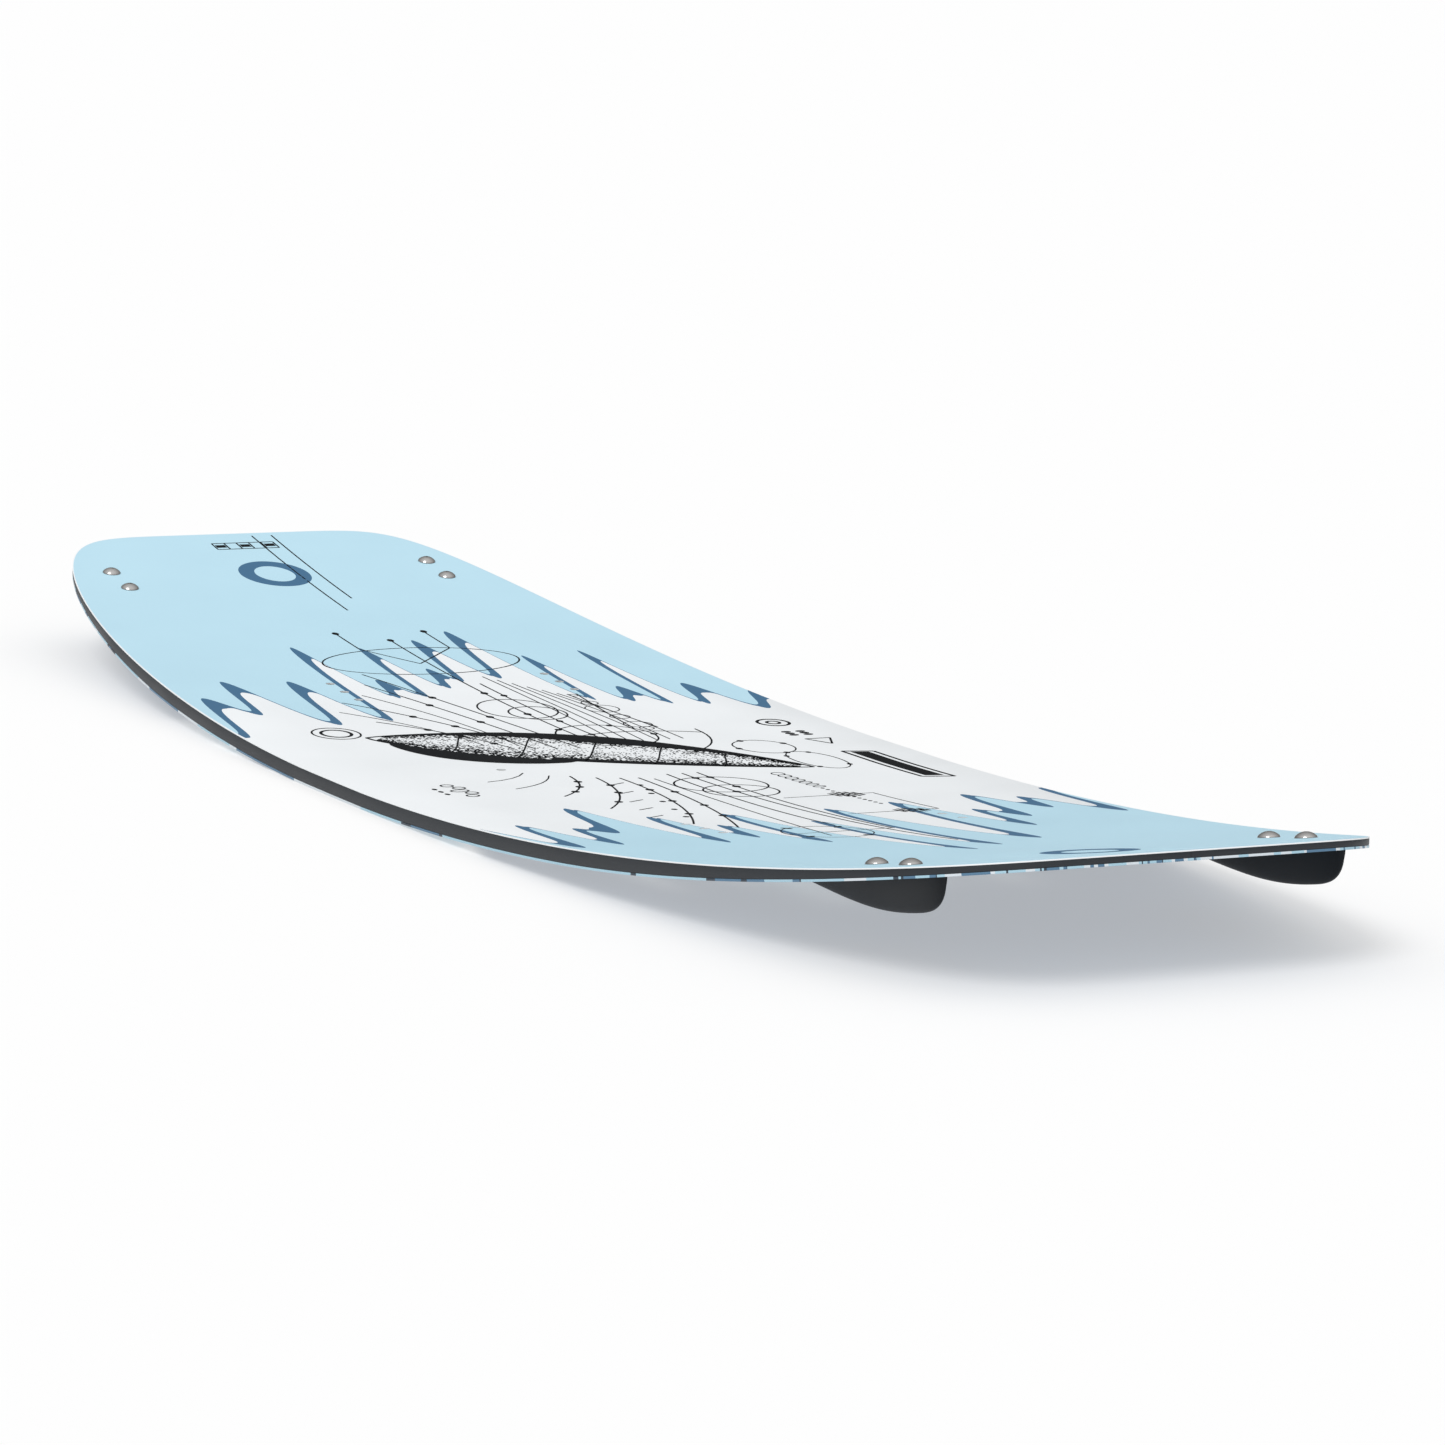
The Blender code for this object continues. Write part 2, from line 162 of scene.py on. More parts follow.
def shaped_grid(name, columns, rows, place):
    """A grid of points, each moved to place(column, row)."""
    bpy.ops.object.select_all(action="DESELECT")
    bpy.ops.mesh.primitive_grid_add(x_subdivisions=columns - 1, y_subdivisions=rows - 1, size=2)
    piece = bpy.context.object
    piece.name = piece.data.name = name
    for point in piece.data.vertices:
        column = round((point.co.x + 1) / 2 * (columns - 1))
        row = round((point.co.y + 1) / 2 * (rows - 1))
        point.co = place(column, row)
    return piece


def finish_with(piece, kind, **settings):
    only(piece)
    step = piece.modifiers.new(kind.lower(), kind)
    for setting, value in settings.items():
        setattr(step, setting, value)
    bpy.ops.object.modifier_apply(modifier=step.name)


def thicken(piece, thickness):
    """Gives a sheet its thickness, downwards from the side that faces out."""
    finish_with(piece, "SOLIDIFY", thickness=thickness, offset=-1.0)


def round_rim(piece, width):
    finish_with(piece, "BEVEL", width=width, segments=2, limit_method="ANGLE", angle_limit=math.radians(50))


def cut_away(piece, tool):
    """Cuts the tool's shape out of the piece, and puts the tool away."""
    finish_with(piece, "BOOLEAN", operation="DIFFERENCE", solver="EXACT", object=tool)
    bpy.data.objects.remove(tool, do_unlink=True)


def edit(piece, *steps):
    """Runs edit-mode steps on the whole piece."""
    only(piece)
    bpy.ops.object.mode_set(mode="EDIT")
    bpy.ops.mesh.select_all(action="SELECT")
    for step in steps:
        step()
    bpy.ops.object.mode_set(mode="OBJECT")


def weld():
    bpy.ops.mesh.remove_doubles(threshold=0.000001)


def close_holes():
    bpy.ops.mesh.fill_holes(sides=0)


def face_outwards():
    bpy.ops.mesh.normals_make_consistent(inside=False)


def smooth(piece, degrees=30):
    only(piece)
    bpy.ops.object.shade_smooth_by_angle(angle=math.radians(degrees))


def count(piece):
    piece.data.calc_loop_triangles()
    print(piece.name, len(piece.data.loop_triangles), "triangles")


def dress(piece, finish, slot, body, *nodes):
    """Gives a finished piece its material, its body and the frame nodes that it stands for."""
    piece.data.materials.clear()
    piece.data.materials.append(finish)
    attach(piece, body)
    if nodes:
        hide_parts(*nodes)
    count(piece)


# %% [markdown]
# ## Turned pieces
#
# Screws and inserts are turned on a lathe, so they are made the same way: one point is extruded along the
# profile, from the top of the axis down the outer side, and the line is spun round the axis.

# %% A lathe
def turned_piece(name, profile, steps):
    bpy.ops.object.select_all(action="DESELECT")
    bpy.ops.mesh.primitive_plane_add(size=0.01)
    piece = bpy.context.object
    piece.name = piece.data.name = name
    bpy.ops.object.mode_set(mode="EDIT")
    bpy.ops.mesh.select_all(action="SELECT")
    bpy.ops.mesh.merge(type="CENTER")
    bpy.ops.transform.translate(value=(profile[0][0], 0, profile[0][1]))
    for (r0, z0), (r1, z1) in zip(profile, profile[1:]):
        bpy.ops.mesh.extrude_region_move(TRANSFORM_OT_translate={"value": (r1 - r0, 0, z1 - z0)})
    bpy.ops.mesh.select_all(action="SELECT")
    bpy.ops.mesh.spin(steps=steps, angle=math.tau, center=(0, 0, 0), axis=(0, 0, 1))
    bpy.ops.mesh.select_all(action="SELECT")
    bpy.ops.mesh.remove_doubles(threshold=0.000002)
    bpy.ops.mesh.normals_make_consistent(inside=False)
    bpy.ops.object.mode_set(mode="OBJECT")
    return piece


def keep_axis_distance(piece):
    """Stores how far each point is from the axis, for a finish with turning marks."""
    distance = piece.data.attributes.new("from_axis", "FLOAT", "POINT")
    for point in piece.data.vertices:
        distance.data[point.index].value = math.hypot(point.co.x, point.co.y)


def copy_to(piece, name, place):
    """A copy with its own mesh, moved to its place inside that mesh."""
    copy = piece.copy()
    copy.data = piece.data.copy()
    copy.name = copy.data.name = name
    bpy.context.scene.collection.objects.link(copy)
    copy.data.transform(place)
    return copy


def seat(x, y, height=0.0):
    """A frame that stands square on the deck at x, y."""
    turn = Matrix.Rotation(-math.atan(deck_slope(x)), 4, "Y")
    return Matrix.Translation((x, y, deck_height(x))) @ turn @ Matrix.Translation((0, 0, height))


# %% [markdown]
# ## Finishes
#
# Each finish is one material with its own colour, gloss and fine surface. Effects that several finishes
# share, a fine mottle and long scuffs, are node groups that read the object's own coordinates in metres, so
# they keep their size on every piece.

# %% Shared effects
def new_group(name, inputs, outputs):
    group = bpy.data.node_groups.new(name, "ShaderNodeTree")
    for socket, default in inputs:
        made = group.interface.new_socket(socket, in_out="INPUT", socket_type="NodeSocketFloat")
        made.default_value = default
    for socket in outputs:
        group.interface.new_socket(socket, in_out="OUTPUT", socket_type="NodeSocketFloat")
    start = group.nodes.new("NodeGroupInput")
    end = group.nodes.new("NodeGroupOutput")
    return group, start, end


def add_node(tree, kind, **settings):
    node = tree.nodes.new(kind)
    for setting, value in settings.items():
        if setting.startswith("in_"):
            node.inputs[int(setting[3:])].default_value = value
        else:
            setattr(node, setting, value)
    return node


def math_node(tree, operation, **settings):
    return add_node(tree, "ShaderNodeMath", operation=operation, **settings)


def wire(tree, *links):
    """Joins sockets. Each link gives a node, its output, the next node and its input."""
    for source, output, target, socket in links:
        tree.links.new(source.outputs[output], target.inputs[socket])


def fine_mottle():
    """Low, soft variation at two sizes, centred on 0.5."""
    group, start, end = new_group("fine_mottle", [("Fine Scale", 900.0), ("Broad Scale", 14.0)], ["Mask"])
    place = add_node(group, "ShaderNodeTexCoord")
    fine = add_node(group, "ShaderNodeTexNoise", in_3=3.0)
    broad = add_node(group, "ShaderNodeTexNoise", in_3=4.0)
    mix = math_node(group, "MULTIPLY_ADD", in_1=0.6)
    share = math_node(group, "MULTIPLY", in_1=0.4)
    wire(group, (place, "Object", fine, "Vector"), (place, "Object", broad, "Vector"),
         (start, "Fine Scale", fine, "Scale"), (start, "Broad Scale", broad, "Scale"),
         (fine, "Fac", share, 0), (broad, "Fac", mix, 0), (share, 0, mix, 2), (mix, 0, end, "Mask"))
    return group


def long_scuffs():
    """Thin streaks that run along the board, from noise stretched in X."""
    group, start, end = new_group("long_scuffs", [("Scale", 60.0), ("Cover", 0.62)], ["Mask"])
    place = add_node(group, "ShaderNodeTexCoord")
    stretch = add_node(group, "ShaderNodeMapping")
    stretch.inputs["Scale"].default_value = (0.6, 14.0, 14.0)
    noise = add_node(group, "ShaderNodeTexNoise", in_3=5.0)
    mask = add_node(group, "ShaderNodeMapRange", interpolation_type="SMOOTHSTEP")
    high = math_node(group, "ADD", in_1=0.12)
    wire(group, (place, "Object", stretch, "Vector"), (stretch, "Vector", noise, "Vector"),
         (start, "Scale", noise, "Scale"), (start, "Cover", high, 0), (noise, "Fac", mask, "Value"),
         (start, "Cover", mask, "From Min"), (high, 0, mask, "From Max"), (mask, "Result", end, "Mask"))
    return group


MOTTLE = fine_mottle()
SCUFFS = long_scuffs()


# %% A finish from its main values
BROAD_SCALE = 14.0
MOTTLE_LOW = 0.3
MOTTLE_HIGH = 0.7
ROUGHNESS_SPREAD = 0.08
GRAIN_HEIGHT = 0.0005


def new_finish(name, light, dark, roughness, metallic=0.0, fine=900.0, bump=0.02, scuff=0.0, gleam=0.5):
    """A finish that moves between two tones, with a fine bump and a roughness that follows the mottle."""
    made = bpy.data.materials.new(name)
    made.use_nodes = True
    tree = made.node_tree
    shader = tree.nodes["Principled BSDF"]
    shader.inputs["Metallic"].default_value = metallic
    shader.inputs["Specular IOR Level"].default_value = gleam
    mottle = add_node(tree, "ShaderNodeGroup")
    mottle.node_tree = MOTTLE
    mottle.inputs["Fine Scale"].default_value = fine
    mottle.inputs["Broad Scale"].default_value = BROAD_SCALE
    tone = add_node(tree, "ShaderNodeMix", data_type="RGBA")
    tone.inputs["A"].default_value = (*dark, 1.0)
    tone.inputs["B"].default_value = (*light, 1.0)
    spread = add_node(tree, "ShaderNodeMapRange", in_1=MOTTLE_LOW, in_2=MOTTLE_HIGH)
    scuffs = add_node(tree, "ShaderNodeGroup")
    scuffs.node_tree = SCUFFS
    worn = add_node(tree, "ShaderNodeMix", data_type="RGBA")
    worn.inputs["B"].default_value = (*[min(1.0, c * 1.5 + 0.05) for c in light], 1.0)
    amount = math_node(tree, "MULTIPLY", in_1=scuff)
    gloss = add_node(tree, "ShaderNodeMapRange", in_1=MOTTLE_LOW, in_2=MOTTLE_HIGH,
                     in_3=roughness - ROUGHNESS_SPREAD, in_4=roughness + ROUGHNESS_SPREAD)
    relief = add_node(tree, "ShaderNodeBump")
    relief.inputs["Strength"].default_value = bump
    relief.inputs["Distance"].default_value = GRAIN_HEIGHT
    wire(tree, (mottle, "Mask", spread, "Value"), (spread, "Result", tone, "Factor"),
         (tone, "Result", worn, "A"), (scuffs, "Mask", amount, 0), (amount, 0, worn, "Factor"),
         (worn, "Result", shader, "Base Color"), (mottle, "Mask", gloss, "Value"),
         (gloss, "Result", shader, "Roughness"), (mottle, "Mask", relief, "Height"),
         (relief, "Normal", shader, "Normal"))
    return made


WHITE_SHEET = new_finish("white_sheet", (0.86, 0.885, 0.905), (0.84, 0.87, 0.89), 0.52, gleam=0.2)
SKY_INK = new_finish("sky_ink", (0.50, 0.735, 0.85), (0.48, 0.715, 0.835), 0.52, gleam=0.2)
STEEL_INK = new_finish("steel_ink", (0.050, 0.150, 0.275), (0.042, 0.135, 0.25), 0.52, gleam=0.2)
BLACK_INK = new_finish("black_ink", (0.007, 0.008, 0.010), (0.004, 0.005, 0.006), 0.60, gleam=0.05)
RAIL_PLASTIC = new_finish("rail_plastic", (0.029, 0.034, 0.040), (0.017, 0.020, 0.025), 0.50, bump=0.25,
                          scuff=0.10, fine=2200.0, gleam=0.3)
FIN_PLASTIC = new_finish("fin_plastic", (0.0085, 0.0115, 0.0150), (0.0050, 0.0070, 0.0095), 0.42, bump=0.30,
                         scuff=0.04, fine=3000.0, gleam=0.20)
BASE_PRINT = new_finish("base_print", (0.40, 0.60, 0.71), (0.37, 0.57, 0.68), 0.34, gleam=0.3)
STEEL = new_finish("polished_steel", (0.50, 0.49, 0.48), (0.37, 0.365, 0.36), 0.15, metallic=1.0, fine=5000.0)
BRASS = new_finish("turned_brass", (0.75, 0.56, 0.25), (0.62, 0.44, 0.18), 0.32, metallic=1.0, fine=4000.0)
GLASS_SKIN = new_finish("glass_skin", (0.62, 0.64, 0.60), (0.50, 0.53, 0.50), 0.42)


def add_streaks(finish, colours, stretch, scale):
    """Paints flat patches of other colours over a finish, from noise stretched along the board."""
    tree = finish.node_tree
    shader = tree.nodes["Principled BSDF"]
    ground = shader.inputs["Base Color"].links[0].from_socket
    place = add_node(tree, "ShaderNodeTexCoord")
    mapping = add_node(tree, "ShaderNodeMapping")
    mapping.inputs["Scale"].default_value = stretch
    noise = add_node(tree, "ShaderNodeTexNoise", in_2=scale, in_3=3.0)
    wire(tree, (place, "Object", mapping, "Vector"), (mapping, "Vector", noise, "Vector"))
    for low, high, colour in colours:
        above = math_node(tree, "GREATER_THAN", in_1=low)
        below = math_node(tree, "LESS_THAN", in_1=high)
        both = math_node(tree, "MULTIPLY")
        patch = add_node(tree, "ShaderNodeMix", data_type="RGBA")
        patch.inputs["B"].default_value = (*colour, 1.0)
        wire(tree, (noise, "Fac", above, 0), (noise, "Fac", below, 0), (above, 0, both, 0),
             (below, 0, both, 1), (both, 0, patch, "Factor"))
        tree.links.new(ground, patch.inputs["A"])
        ground = patch.outputs["Result"]
    tree.links.new(ground, shader.inputs["Base Color"])


PALE_STREAK = (0.66, 0.72, 0.77)
STEEL_STREAK = (0.10, 0.20, 0.31)
DARK_STREAK = (0.04, 0.055, 0.075)
WOOD_GRAIN = (0.42, 0.28, 0.14)
WOOD_LINE = (0.36, 0.23, 0.11)
base_streaks = ((0.53, 0.60, PALE_STREAK), (0.39, 0.430, STEEL_STREAK), (0.430, 0.440, DARK_STREAK),
                (0.60, 1.0, STEEL_STREAK))
add_streaks(BASE_PRINT, base_streaks, (0.30, 3.2, 0.0), 16.0)
WOOD = new_finish("paulownia", (0.62, 0.46, 0.28), (0.56, 0.41, 0.24), 0.60)
add_streaks(WOOD, ((0.50, 0.54, WOOD_GRAIN), (0.60, 0.62, WOOD_LINE)), (0.4, 40.0, 40.0), 9.0)
BLOCK = new_finish("block_plastic", (0.10, 0.10, 0.11), (0.07, 0.07, 0.08), 0.50)

# %% Turning marks on the steel, and the weave of the glass
RING_SPACING = 0.0004
RING_HEIGHT = 0.00002
WEAVE_SCALE = 30.0
WEAVE_HEIGHT = 0.0001


def add_relief(finish, height_from, distance):
    """Adds a second bump under the first, from a height that height_from makes in the material's tree."""
    tree = finish.node_tree
    shader = tree.nodes["Principled BSDF"]
    first = shader.inputs["Normal"].links[0].from_node
    second = add_node(tree, "ShaderNodeBump")
    second.inputs["Strength"].default_value = 0.6
    second.inputs["Distance"].default_value = distance
    tree.links.new(height_from(tree), second.inputs["Height"])
    wire(tree, (second, "Normal", first, "Normal"))


def turning_marks(tree):
    """Fine rings round the axis, from the distance that each turned piece keeps as an attribute."""
    distance = add_node(tree, "ShaderNodeAttribute", attribute_name="from_axis")
    turns = math_node(tree, "MULTIPLY", in_1=math.tau / RING_SPACING)
    wave = math_node(tree, "SINE")
    wire(tree, (distance, "Fac", turns, 0), (turns, 0, wave, 0))
    return wave.outputs[0]


def glass_weave(tree):
    """Threads that cross at right angles, along the board and across it, about a centimetre apart."""
    place = add_node(tree, "ShaderNodeTexCoord")
    crossed = math_node(tree, "MULTIPLY")
    for socket, direction in enumerate(("X", "Y")):
        threads = add_node(tree, "ShaderNodeTexWave", bands_direction=direction, in_1=WEAVE_SCALE)
        wire(tree, (place, "Object", threads, "Vector"), (threads, "Fac", crossed, socket))
    return crossed.outputs[0]


add_relief(STEEL, turning_marks, RING_HEIGHT)
add_relief(GLASS_SKIN, glass_weave, WEAVE_HEIGHT)

# %% [markdown]
# ## The deck sheet
#
# The printed sheet is a thin plastic skin. Its cut edge shows all round as a fine white line above the dark
# rail. A grid follows the outline and the rocker, gets its thickness, a small rounding at its rim, and holes
# for the fin screws and over the threaded inserts.

# %% Holes in the sheets
SHEET_THICKNESS = 0.0008
SCREW_HOLE = 0.0033
INSERT_HOLE = 0.0033
FIN_Y = 0.128
ENDS = (("left", -1), ("right", 1))
RAILS = (("toe", -1), ("heel", 1))
corners = [(f"{end}_{rail}", x, y) for end, x in ENDS for rail, y in RAILS]


def middle_of(node):
    low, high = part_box(node)
    return [(a + b) / 2 for a, b in zip(low, high)]


# each screw leans with the deck, so its head stands a little inboard of the insert that it bites in
joints = {joint["name"]: joint for joint in frame["record"]["behaviour"]["joints"]}
screw_spots = {}
for corner, _, _ in corners:
    for number in (1, 2):
        x, y, _ = joints[f"{corner}_screw_{number}_turn"]["pos_m"]
        screw_spots[f"{corner}_{number}"] = (x, y)
insert_nodes = [n for n in frame["nodes"] if n.startswith(("binding_insert", "handle_insert"))]
insert_spots = {n: tuple(middle_of(n)[:2]) for n in insert_nodes}
print(len(screw_spots), "screws and", len(insert_spots), "deck inserts")


def drill(piece, spots, radius, reach=0.02):
    """Cuts a round hole square to the deck at each spot."""
    bpy.ops.object.select_all(action="DESELECT")
    drills = []
    for x, y in spots:
        bpy.ops.mesh.primitive_cylinder_add(vertices=32, radius=radius, depth=2 * reach)
        made = bpy.context.object
        made.data.transform(seat(x, y))
        drills.append(made)
    only(drills[0])
    for made in drills:
        made.select_set(True)
    bpy.ops.object.join()
    cut_away(piece, drills[0])


# %% The deck sheet
ROWS_ACROSS = 9


def board_grid(name, height, inset=0.0):
    shrink = (HALF_LENGTH - inset) / HALF_LENGTH

    def place(column, row):
        x = COLUMNS[column] * shrink
        return Vector((x, (2 * row / (ROWS_ACROSS - 1) - 1) * half_width(x, inset), height(x)))
    return shaped_grid(name, len(COLUMNS), ROWS_ACROSS, place)


deck_sheet = board_grid("deck_sheet", deck_height)
thicken(deck_sheet, SHEET_THICKNESS)
round_rim(deck_sheet, 0.0002)
drill(deck_sheet, screw_spots.values(), SCREW_HOLE)
drill(deck_sheet, insert_spots.values(), INSERT_HOLE)
smooth(deck_sheet)
dress(deck_sheet, WHITE_SHEET, "printed_sheet", "board", "top_sheet")

# %% [markdown]
# ## The rails
#
# The dark plastic rail is bent round each long side and meets its twin at the middle of the tips. Its outer
# edges are broken with a small bevel. A grid runs along the outline one way and round the rail's section the
# other way, then its seam is welded and its two ends are closed.

# %% Section and sweep
RAIL_WIDTH = 0.012
BASE_THICKNESS = 0.0014
BUTT_GAP = 0.0001
# each point of the section gives its inset, whether it belongs to the top, and its lift
rail_section = [
    (RAIL_WIDTH, 0, 0.0), (0.0006, 0, 0.0), (0.00018, 0, 0.00018), (0.0, 0, 0.0006),
    (0.0, 1, -0.0004), (0.00012, 1, -0.00012), (0.0004, 1, 0.0), (RAIL_WIDTH, 1, 0.0),
]


def make_rail(name, side, node):
    stops = [HALF_LENGTH] + COLUMNS[::-1] + [-HALF_LENGTH]

    def place(column, row):
        inset, top, lift = rail_section[row % len(rail_section)]
        x = stops[column] * (HALF_LENGTH - inset) / HALF_LENGTH
        y = BUTT_GAP if column in (0, len(stops) - 1) else half_width(x, inset)
        z = deck_height(x) - SHEET_THICKNESS if top else base_height(x) + BASE_THICKNESS
        return Vector((x, side * y, z + lift))
    rail = shaped_grid(name, len(stops), len(rail_section) + 1, place)
    edit(rail, weld, close_holes, face_outwards)
    smooth(rail)
    dress(rail, RAIL_PLASTIC, "sidewall_plastic", "board", node)


make_rail("rail_toe", -1, "sidewall_toe")
make_rail("rail_heel", 1, "sidewall_heel")

# %% [markdown]
# ## The skins inside, and the base
#
# The two glass skins end just inside the rail. The base sheet closes the board underneath, and its edge shows
# below the rail as a thin line in the colours of its print.

# %% Skins and base
SKIN = 0.0005
SKIN_INSET = 0.0145
GLUE = 0.0001
top_skin = board_grid("top_skin", lambda x: deck_height(x) - SHEET_THICKNESS - GLUE, SKIN_INSET)
thicken(top_skin, SKIN)
drill(top_skin, list(screw_spots.values()) + list(insert_spots.values()), INSERT_HOLE)
dress(top_skin, GLASS_SKIN, "glass_laminate", "board", "top_laminate")
bottom_skin = board_grid("bottom_skin", lambda x: base_height(x) + BASE_THICKNESS + GLUE + SKIN, SKIN_INSET)
thicken(bottom_skin, SKIN)
drill(bottom_skin, screw_spots.values(), SCREW_HOLE)
dress(bottom_skin, GLASS_SKIN, "glass_laminate", "board", "bottom_laminate")

base_skin = board_grid("base_skin", lambda x: base_height(x) + BASE_THICKNESS)
thicken(base_skin, BASE_THICKNESS)
round_rim(base_skin, 0.0003)
drill(base_skin, screw_spots.values(), SCREW_HOLE)
smooth(base_skin)
dress(base_skin, BASE_PRINT, "base_plastic", "board", "base_sheet")

# %% [markdown]
# ## The print: blue ends with a wave-like edge
#
# The ends of the deck are sky blue, and the blue breaks into long tongues towards the white middle. A darker
# line follows that edge like the stroke of a broad pen, heavy at the tongues' ends and thin along their
# sides. The edge is one curve across the board, drawn through turning points. The ink is a real film, about a
# tenth of a millimetre thick.

# %% Turning points of the wave edge, as (across, along)
INK = 0.00006
INK_STEP = 0.00003
INK_RIM = 0.0006
left_turns = [
    (-0.2070, -0.165), (-0.1880, -0.276), (-0.1700, -0.232), (-0.1570, -0.320), (-0.1300, -0.190),
    (-0.1100, -0.312), (-0.0900, -0.195), (-0.0690, -0.405), (-0.0550, -0.262), (-0.0460, -0.305),
    (-0.0340, -0.262), (-0.0200, -0.395), (-0.0070, -0.284), (0.0040, -0.330), (0.0110, -0.302),
    (0.0280, -0.410), (0.0420, -0.306), (0.0630, -0.430), (0.0790, -0.228), (0.0900, -0.355),
    (0.1040, -0.218), (0.1170, -0.253), (0.1280, -0.205), (0.1380, -0.362), (0.1530, -0.198),
    (0.1680, -0.253), (0.1870, -0.174), (0.2070, -0.222),
]
right_turns = [
    (-0.2070, 0.222), (-0.1900, 0.332), (-0.1750, 0.224), (-0.1630, 0.328), (-0.1500, 0.252),
    (-0.1390, 0.272), (-0.1150, 0.168), (-0.1050, 0.352), (-0.0850, 0.222), (-0.0770, 0.336),
    (-0.0640, 0.276), (-0.0550, 0.386), (-0.0370, 0.228), (-0.0200, 0.496), (-0.0040, 0.284),
    (0.0100, 0.472), (0.0320, 0.234), (0.0530, 0.443), (0.0850, 0.222), (0.0970, 0.364),
    (0.1140, 0.276), (0.1230, 0.314), (0.1450, 0.208), (0.1600, 0.278), (0.1720, 0.232),
    (0.1900, 0.318), (0.2070, 0.200),
]


def wave_edge(turns, y):
    """The blue's edge along the board at y, and how near that is to a tongue's outer end, from 0 to 1."""
    for (y0, x0), (y1, x1) in zip(turns, turns[1:]):
        if y <= y1 or (y1, x1) == turns[-1]:
            share = min(max((y - y0) / (y1 - y0), 0.0), 1.0)
            ease = (1 - math.cos(math.pi * share)) / 2
            outer = ease if abs(x1) > abs(x0) else 1 - ease
            return x0 + (x1 - x0) * ease, outer


# %% Blue ends
INK_ROWS = 620
BLUE_COLUMNS = 26
INK_REACH = 0.2066
BLUE_START = 0.2


def ink_y(row):
    return INK_REACH * (2 * row / (INK_ROWS - 1) - 1)


def deck_ink(x, layer):
    return deck_height(x) + INK + layer * INK_STEP


def base_ink(x, layer):
    return base_height(x) - INK - layer * INK_STEP


def ink_film(name, columns, span, height, layer, finish, end):
    """A film of ink, drawn across the board between the two places along it that span gives for each y."""
    def place(column, row):
        y = ink_y(row)
        start, stop = span(y)
        x = start + (stop - start) * column / (columns - 1)
        return Vector((x, math.copysign(min(abs(y), half_width(x, INK_RIM)), y), height(x, layer)))
    ink = shaped_grid(name, columns, INK_ROWS, place)
    on_top = height is deck_ink
    if not on_top:
        edit(ink, lambda: bpy.ops.mesh.flip_normals())
    thicken(ink, 2 * INK)
    spots = insert_spots if on_top else screw_spots
    drill(ink, [spot for spot in spots.values() if spot[0] * end > BLUE_START], INSERT_HOLE)
    smooth(ink)
    dress(ink, finish, "printed_sheet" if on_top else "base_plastic", "board")


def end_span(turns, end):
    """From the tip to the wave edge, always in the +X direction."""
    def span(y):
        edge, _ = wave_edge(turns, y)
        tip = end * max(edge_at(y, INK_RIM), abs(edge))
        return (tip, edge) if end < 0 else (edge, tip)
    return span


ink_film("blue_left", BLUE_COLUMNS, end_span(left_turns, -1), deck_ink, 0, SKY_INK, -1)
ink_film("blue_right", BLUE_COLUMNS, end_span(right_turns, 1), deck_ink, 0, SKY_INK, 1)

# %% [markdown]
# The line is drawn as a broad nib would draw it. The nib is a short slanted edge that never turns, so a
# stroke that crosses it comes out broad, and one that runs along it comes out as a hairline. Here the line's
# second side is the first one shifted by the nib, and shifted a little more at the outer tips, which makes
# the wedges.

# %% Broad-nib line along the edge
NIB_ALONG = 0.0135
NIB_ACROSS = 0.0030
NIB_LEAST = 0.0055
WEDGE = 0.0195
WEDGE_POWER = 3.2
NIB_COLUMNS = 5


def nib_span(turns, end):
    def span(y):
        blue, _ = wave_edge(turns, y)
        shifted, outer = wave_edge(turns, y + end * NIB_ACROSS)
        white = shifted - end * (NIB_ALONG + WEDGE * outer ** WEDGE_POWER)
        white = blue - end * max(end * (blue - white), NIB_LEAST)
        return (blue, white) if end < 0 else (white, blue)
    return span


ink_film("nib_line_left", NIB_COLUMNS, nib_span(left_turns, -1), deck_ink, 1, STEEL_INK, -1)
ink_film("nib_line_right", NIB_COLUMNS, nib_span(right_turns, 1), deck_ink, 1, STEEL_INK, 1)

# %% [markdown]
# The base carries the same wave in other colours: dark ends and a white nib line on a streaked blue ground.
# Its turning points are those of the deck's other end, so the two faces don't repeat each other.

# %% Print of the base
base_left_turns = [(-y, -x) for y, x in reversed(right_turns)]
base_right_turns = [(-y, -x) for y, x in reversed(left_turns)]
for name, turns, end in (("left", base_left_turns, -1), ("right", base_right_turns, 1)):
    ink_film(f"base_end_{name}", BLUE_COLUMNS, end_span(turns, end), base_ink, 0, STEEL_INK, end)
    ink_film(f"base_line_{name}", NIB_COLUMNS, nib_span(turns, end), base_ink, 1, WHITE_SHEET, end)

# %% [markdown]
# ## The line drawing
#
# Over the waves lies a fine technical drawing: fans of guide lines with beads on them, circles, small signs
# and a stippled spindle in the middle. It is all plain geometry. Every mark is a flat shape pressed onto the
# deck: a stroke is a two-row grid that follows a list of points, and a disc is a grid pressed into an oval.
# All of one colour are joined and get the ink's thickness together.

# %% Marks on the deck
HAIR = 0.0009
FINE = 0.0010
LINE = 0.0013
MEDIUM = 0.0015
BOLD = 0.0023
ART_LIFT = INK + 2 * INK_STEP
ART_STEP = 0.010
marks = []


def on_deck(x, y):
    return Vector((x, y, deck_height(x) + ART_LIFT))


def stroke(points, width=LINE, closed=False):
    """A ribbon along the points. A closed one ends where it starts."""
    last = len(points) - 1

    def place(column, row):
        before = points[column - 1] if column > 0 else points[last - 1 if closed else 0]
        after = points[column + 1] if column < last else points[1 if closed else last]
        run, rise = after[0] - before[0], after[1] - before[1]
        side = width * (row - 0.5) / math.hypot(run, rise)
        return on_deck(points[column][0] - rise * side, points[column][1] + run * side)
    mark = shaped_grid("mark", len(points), 2, place)
    marks.append(mark)


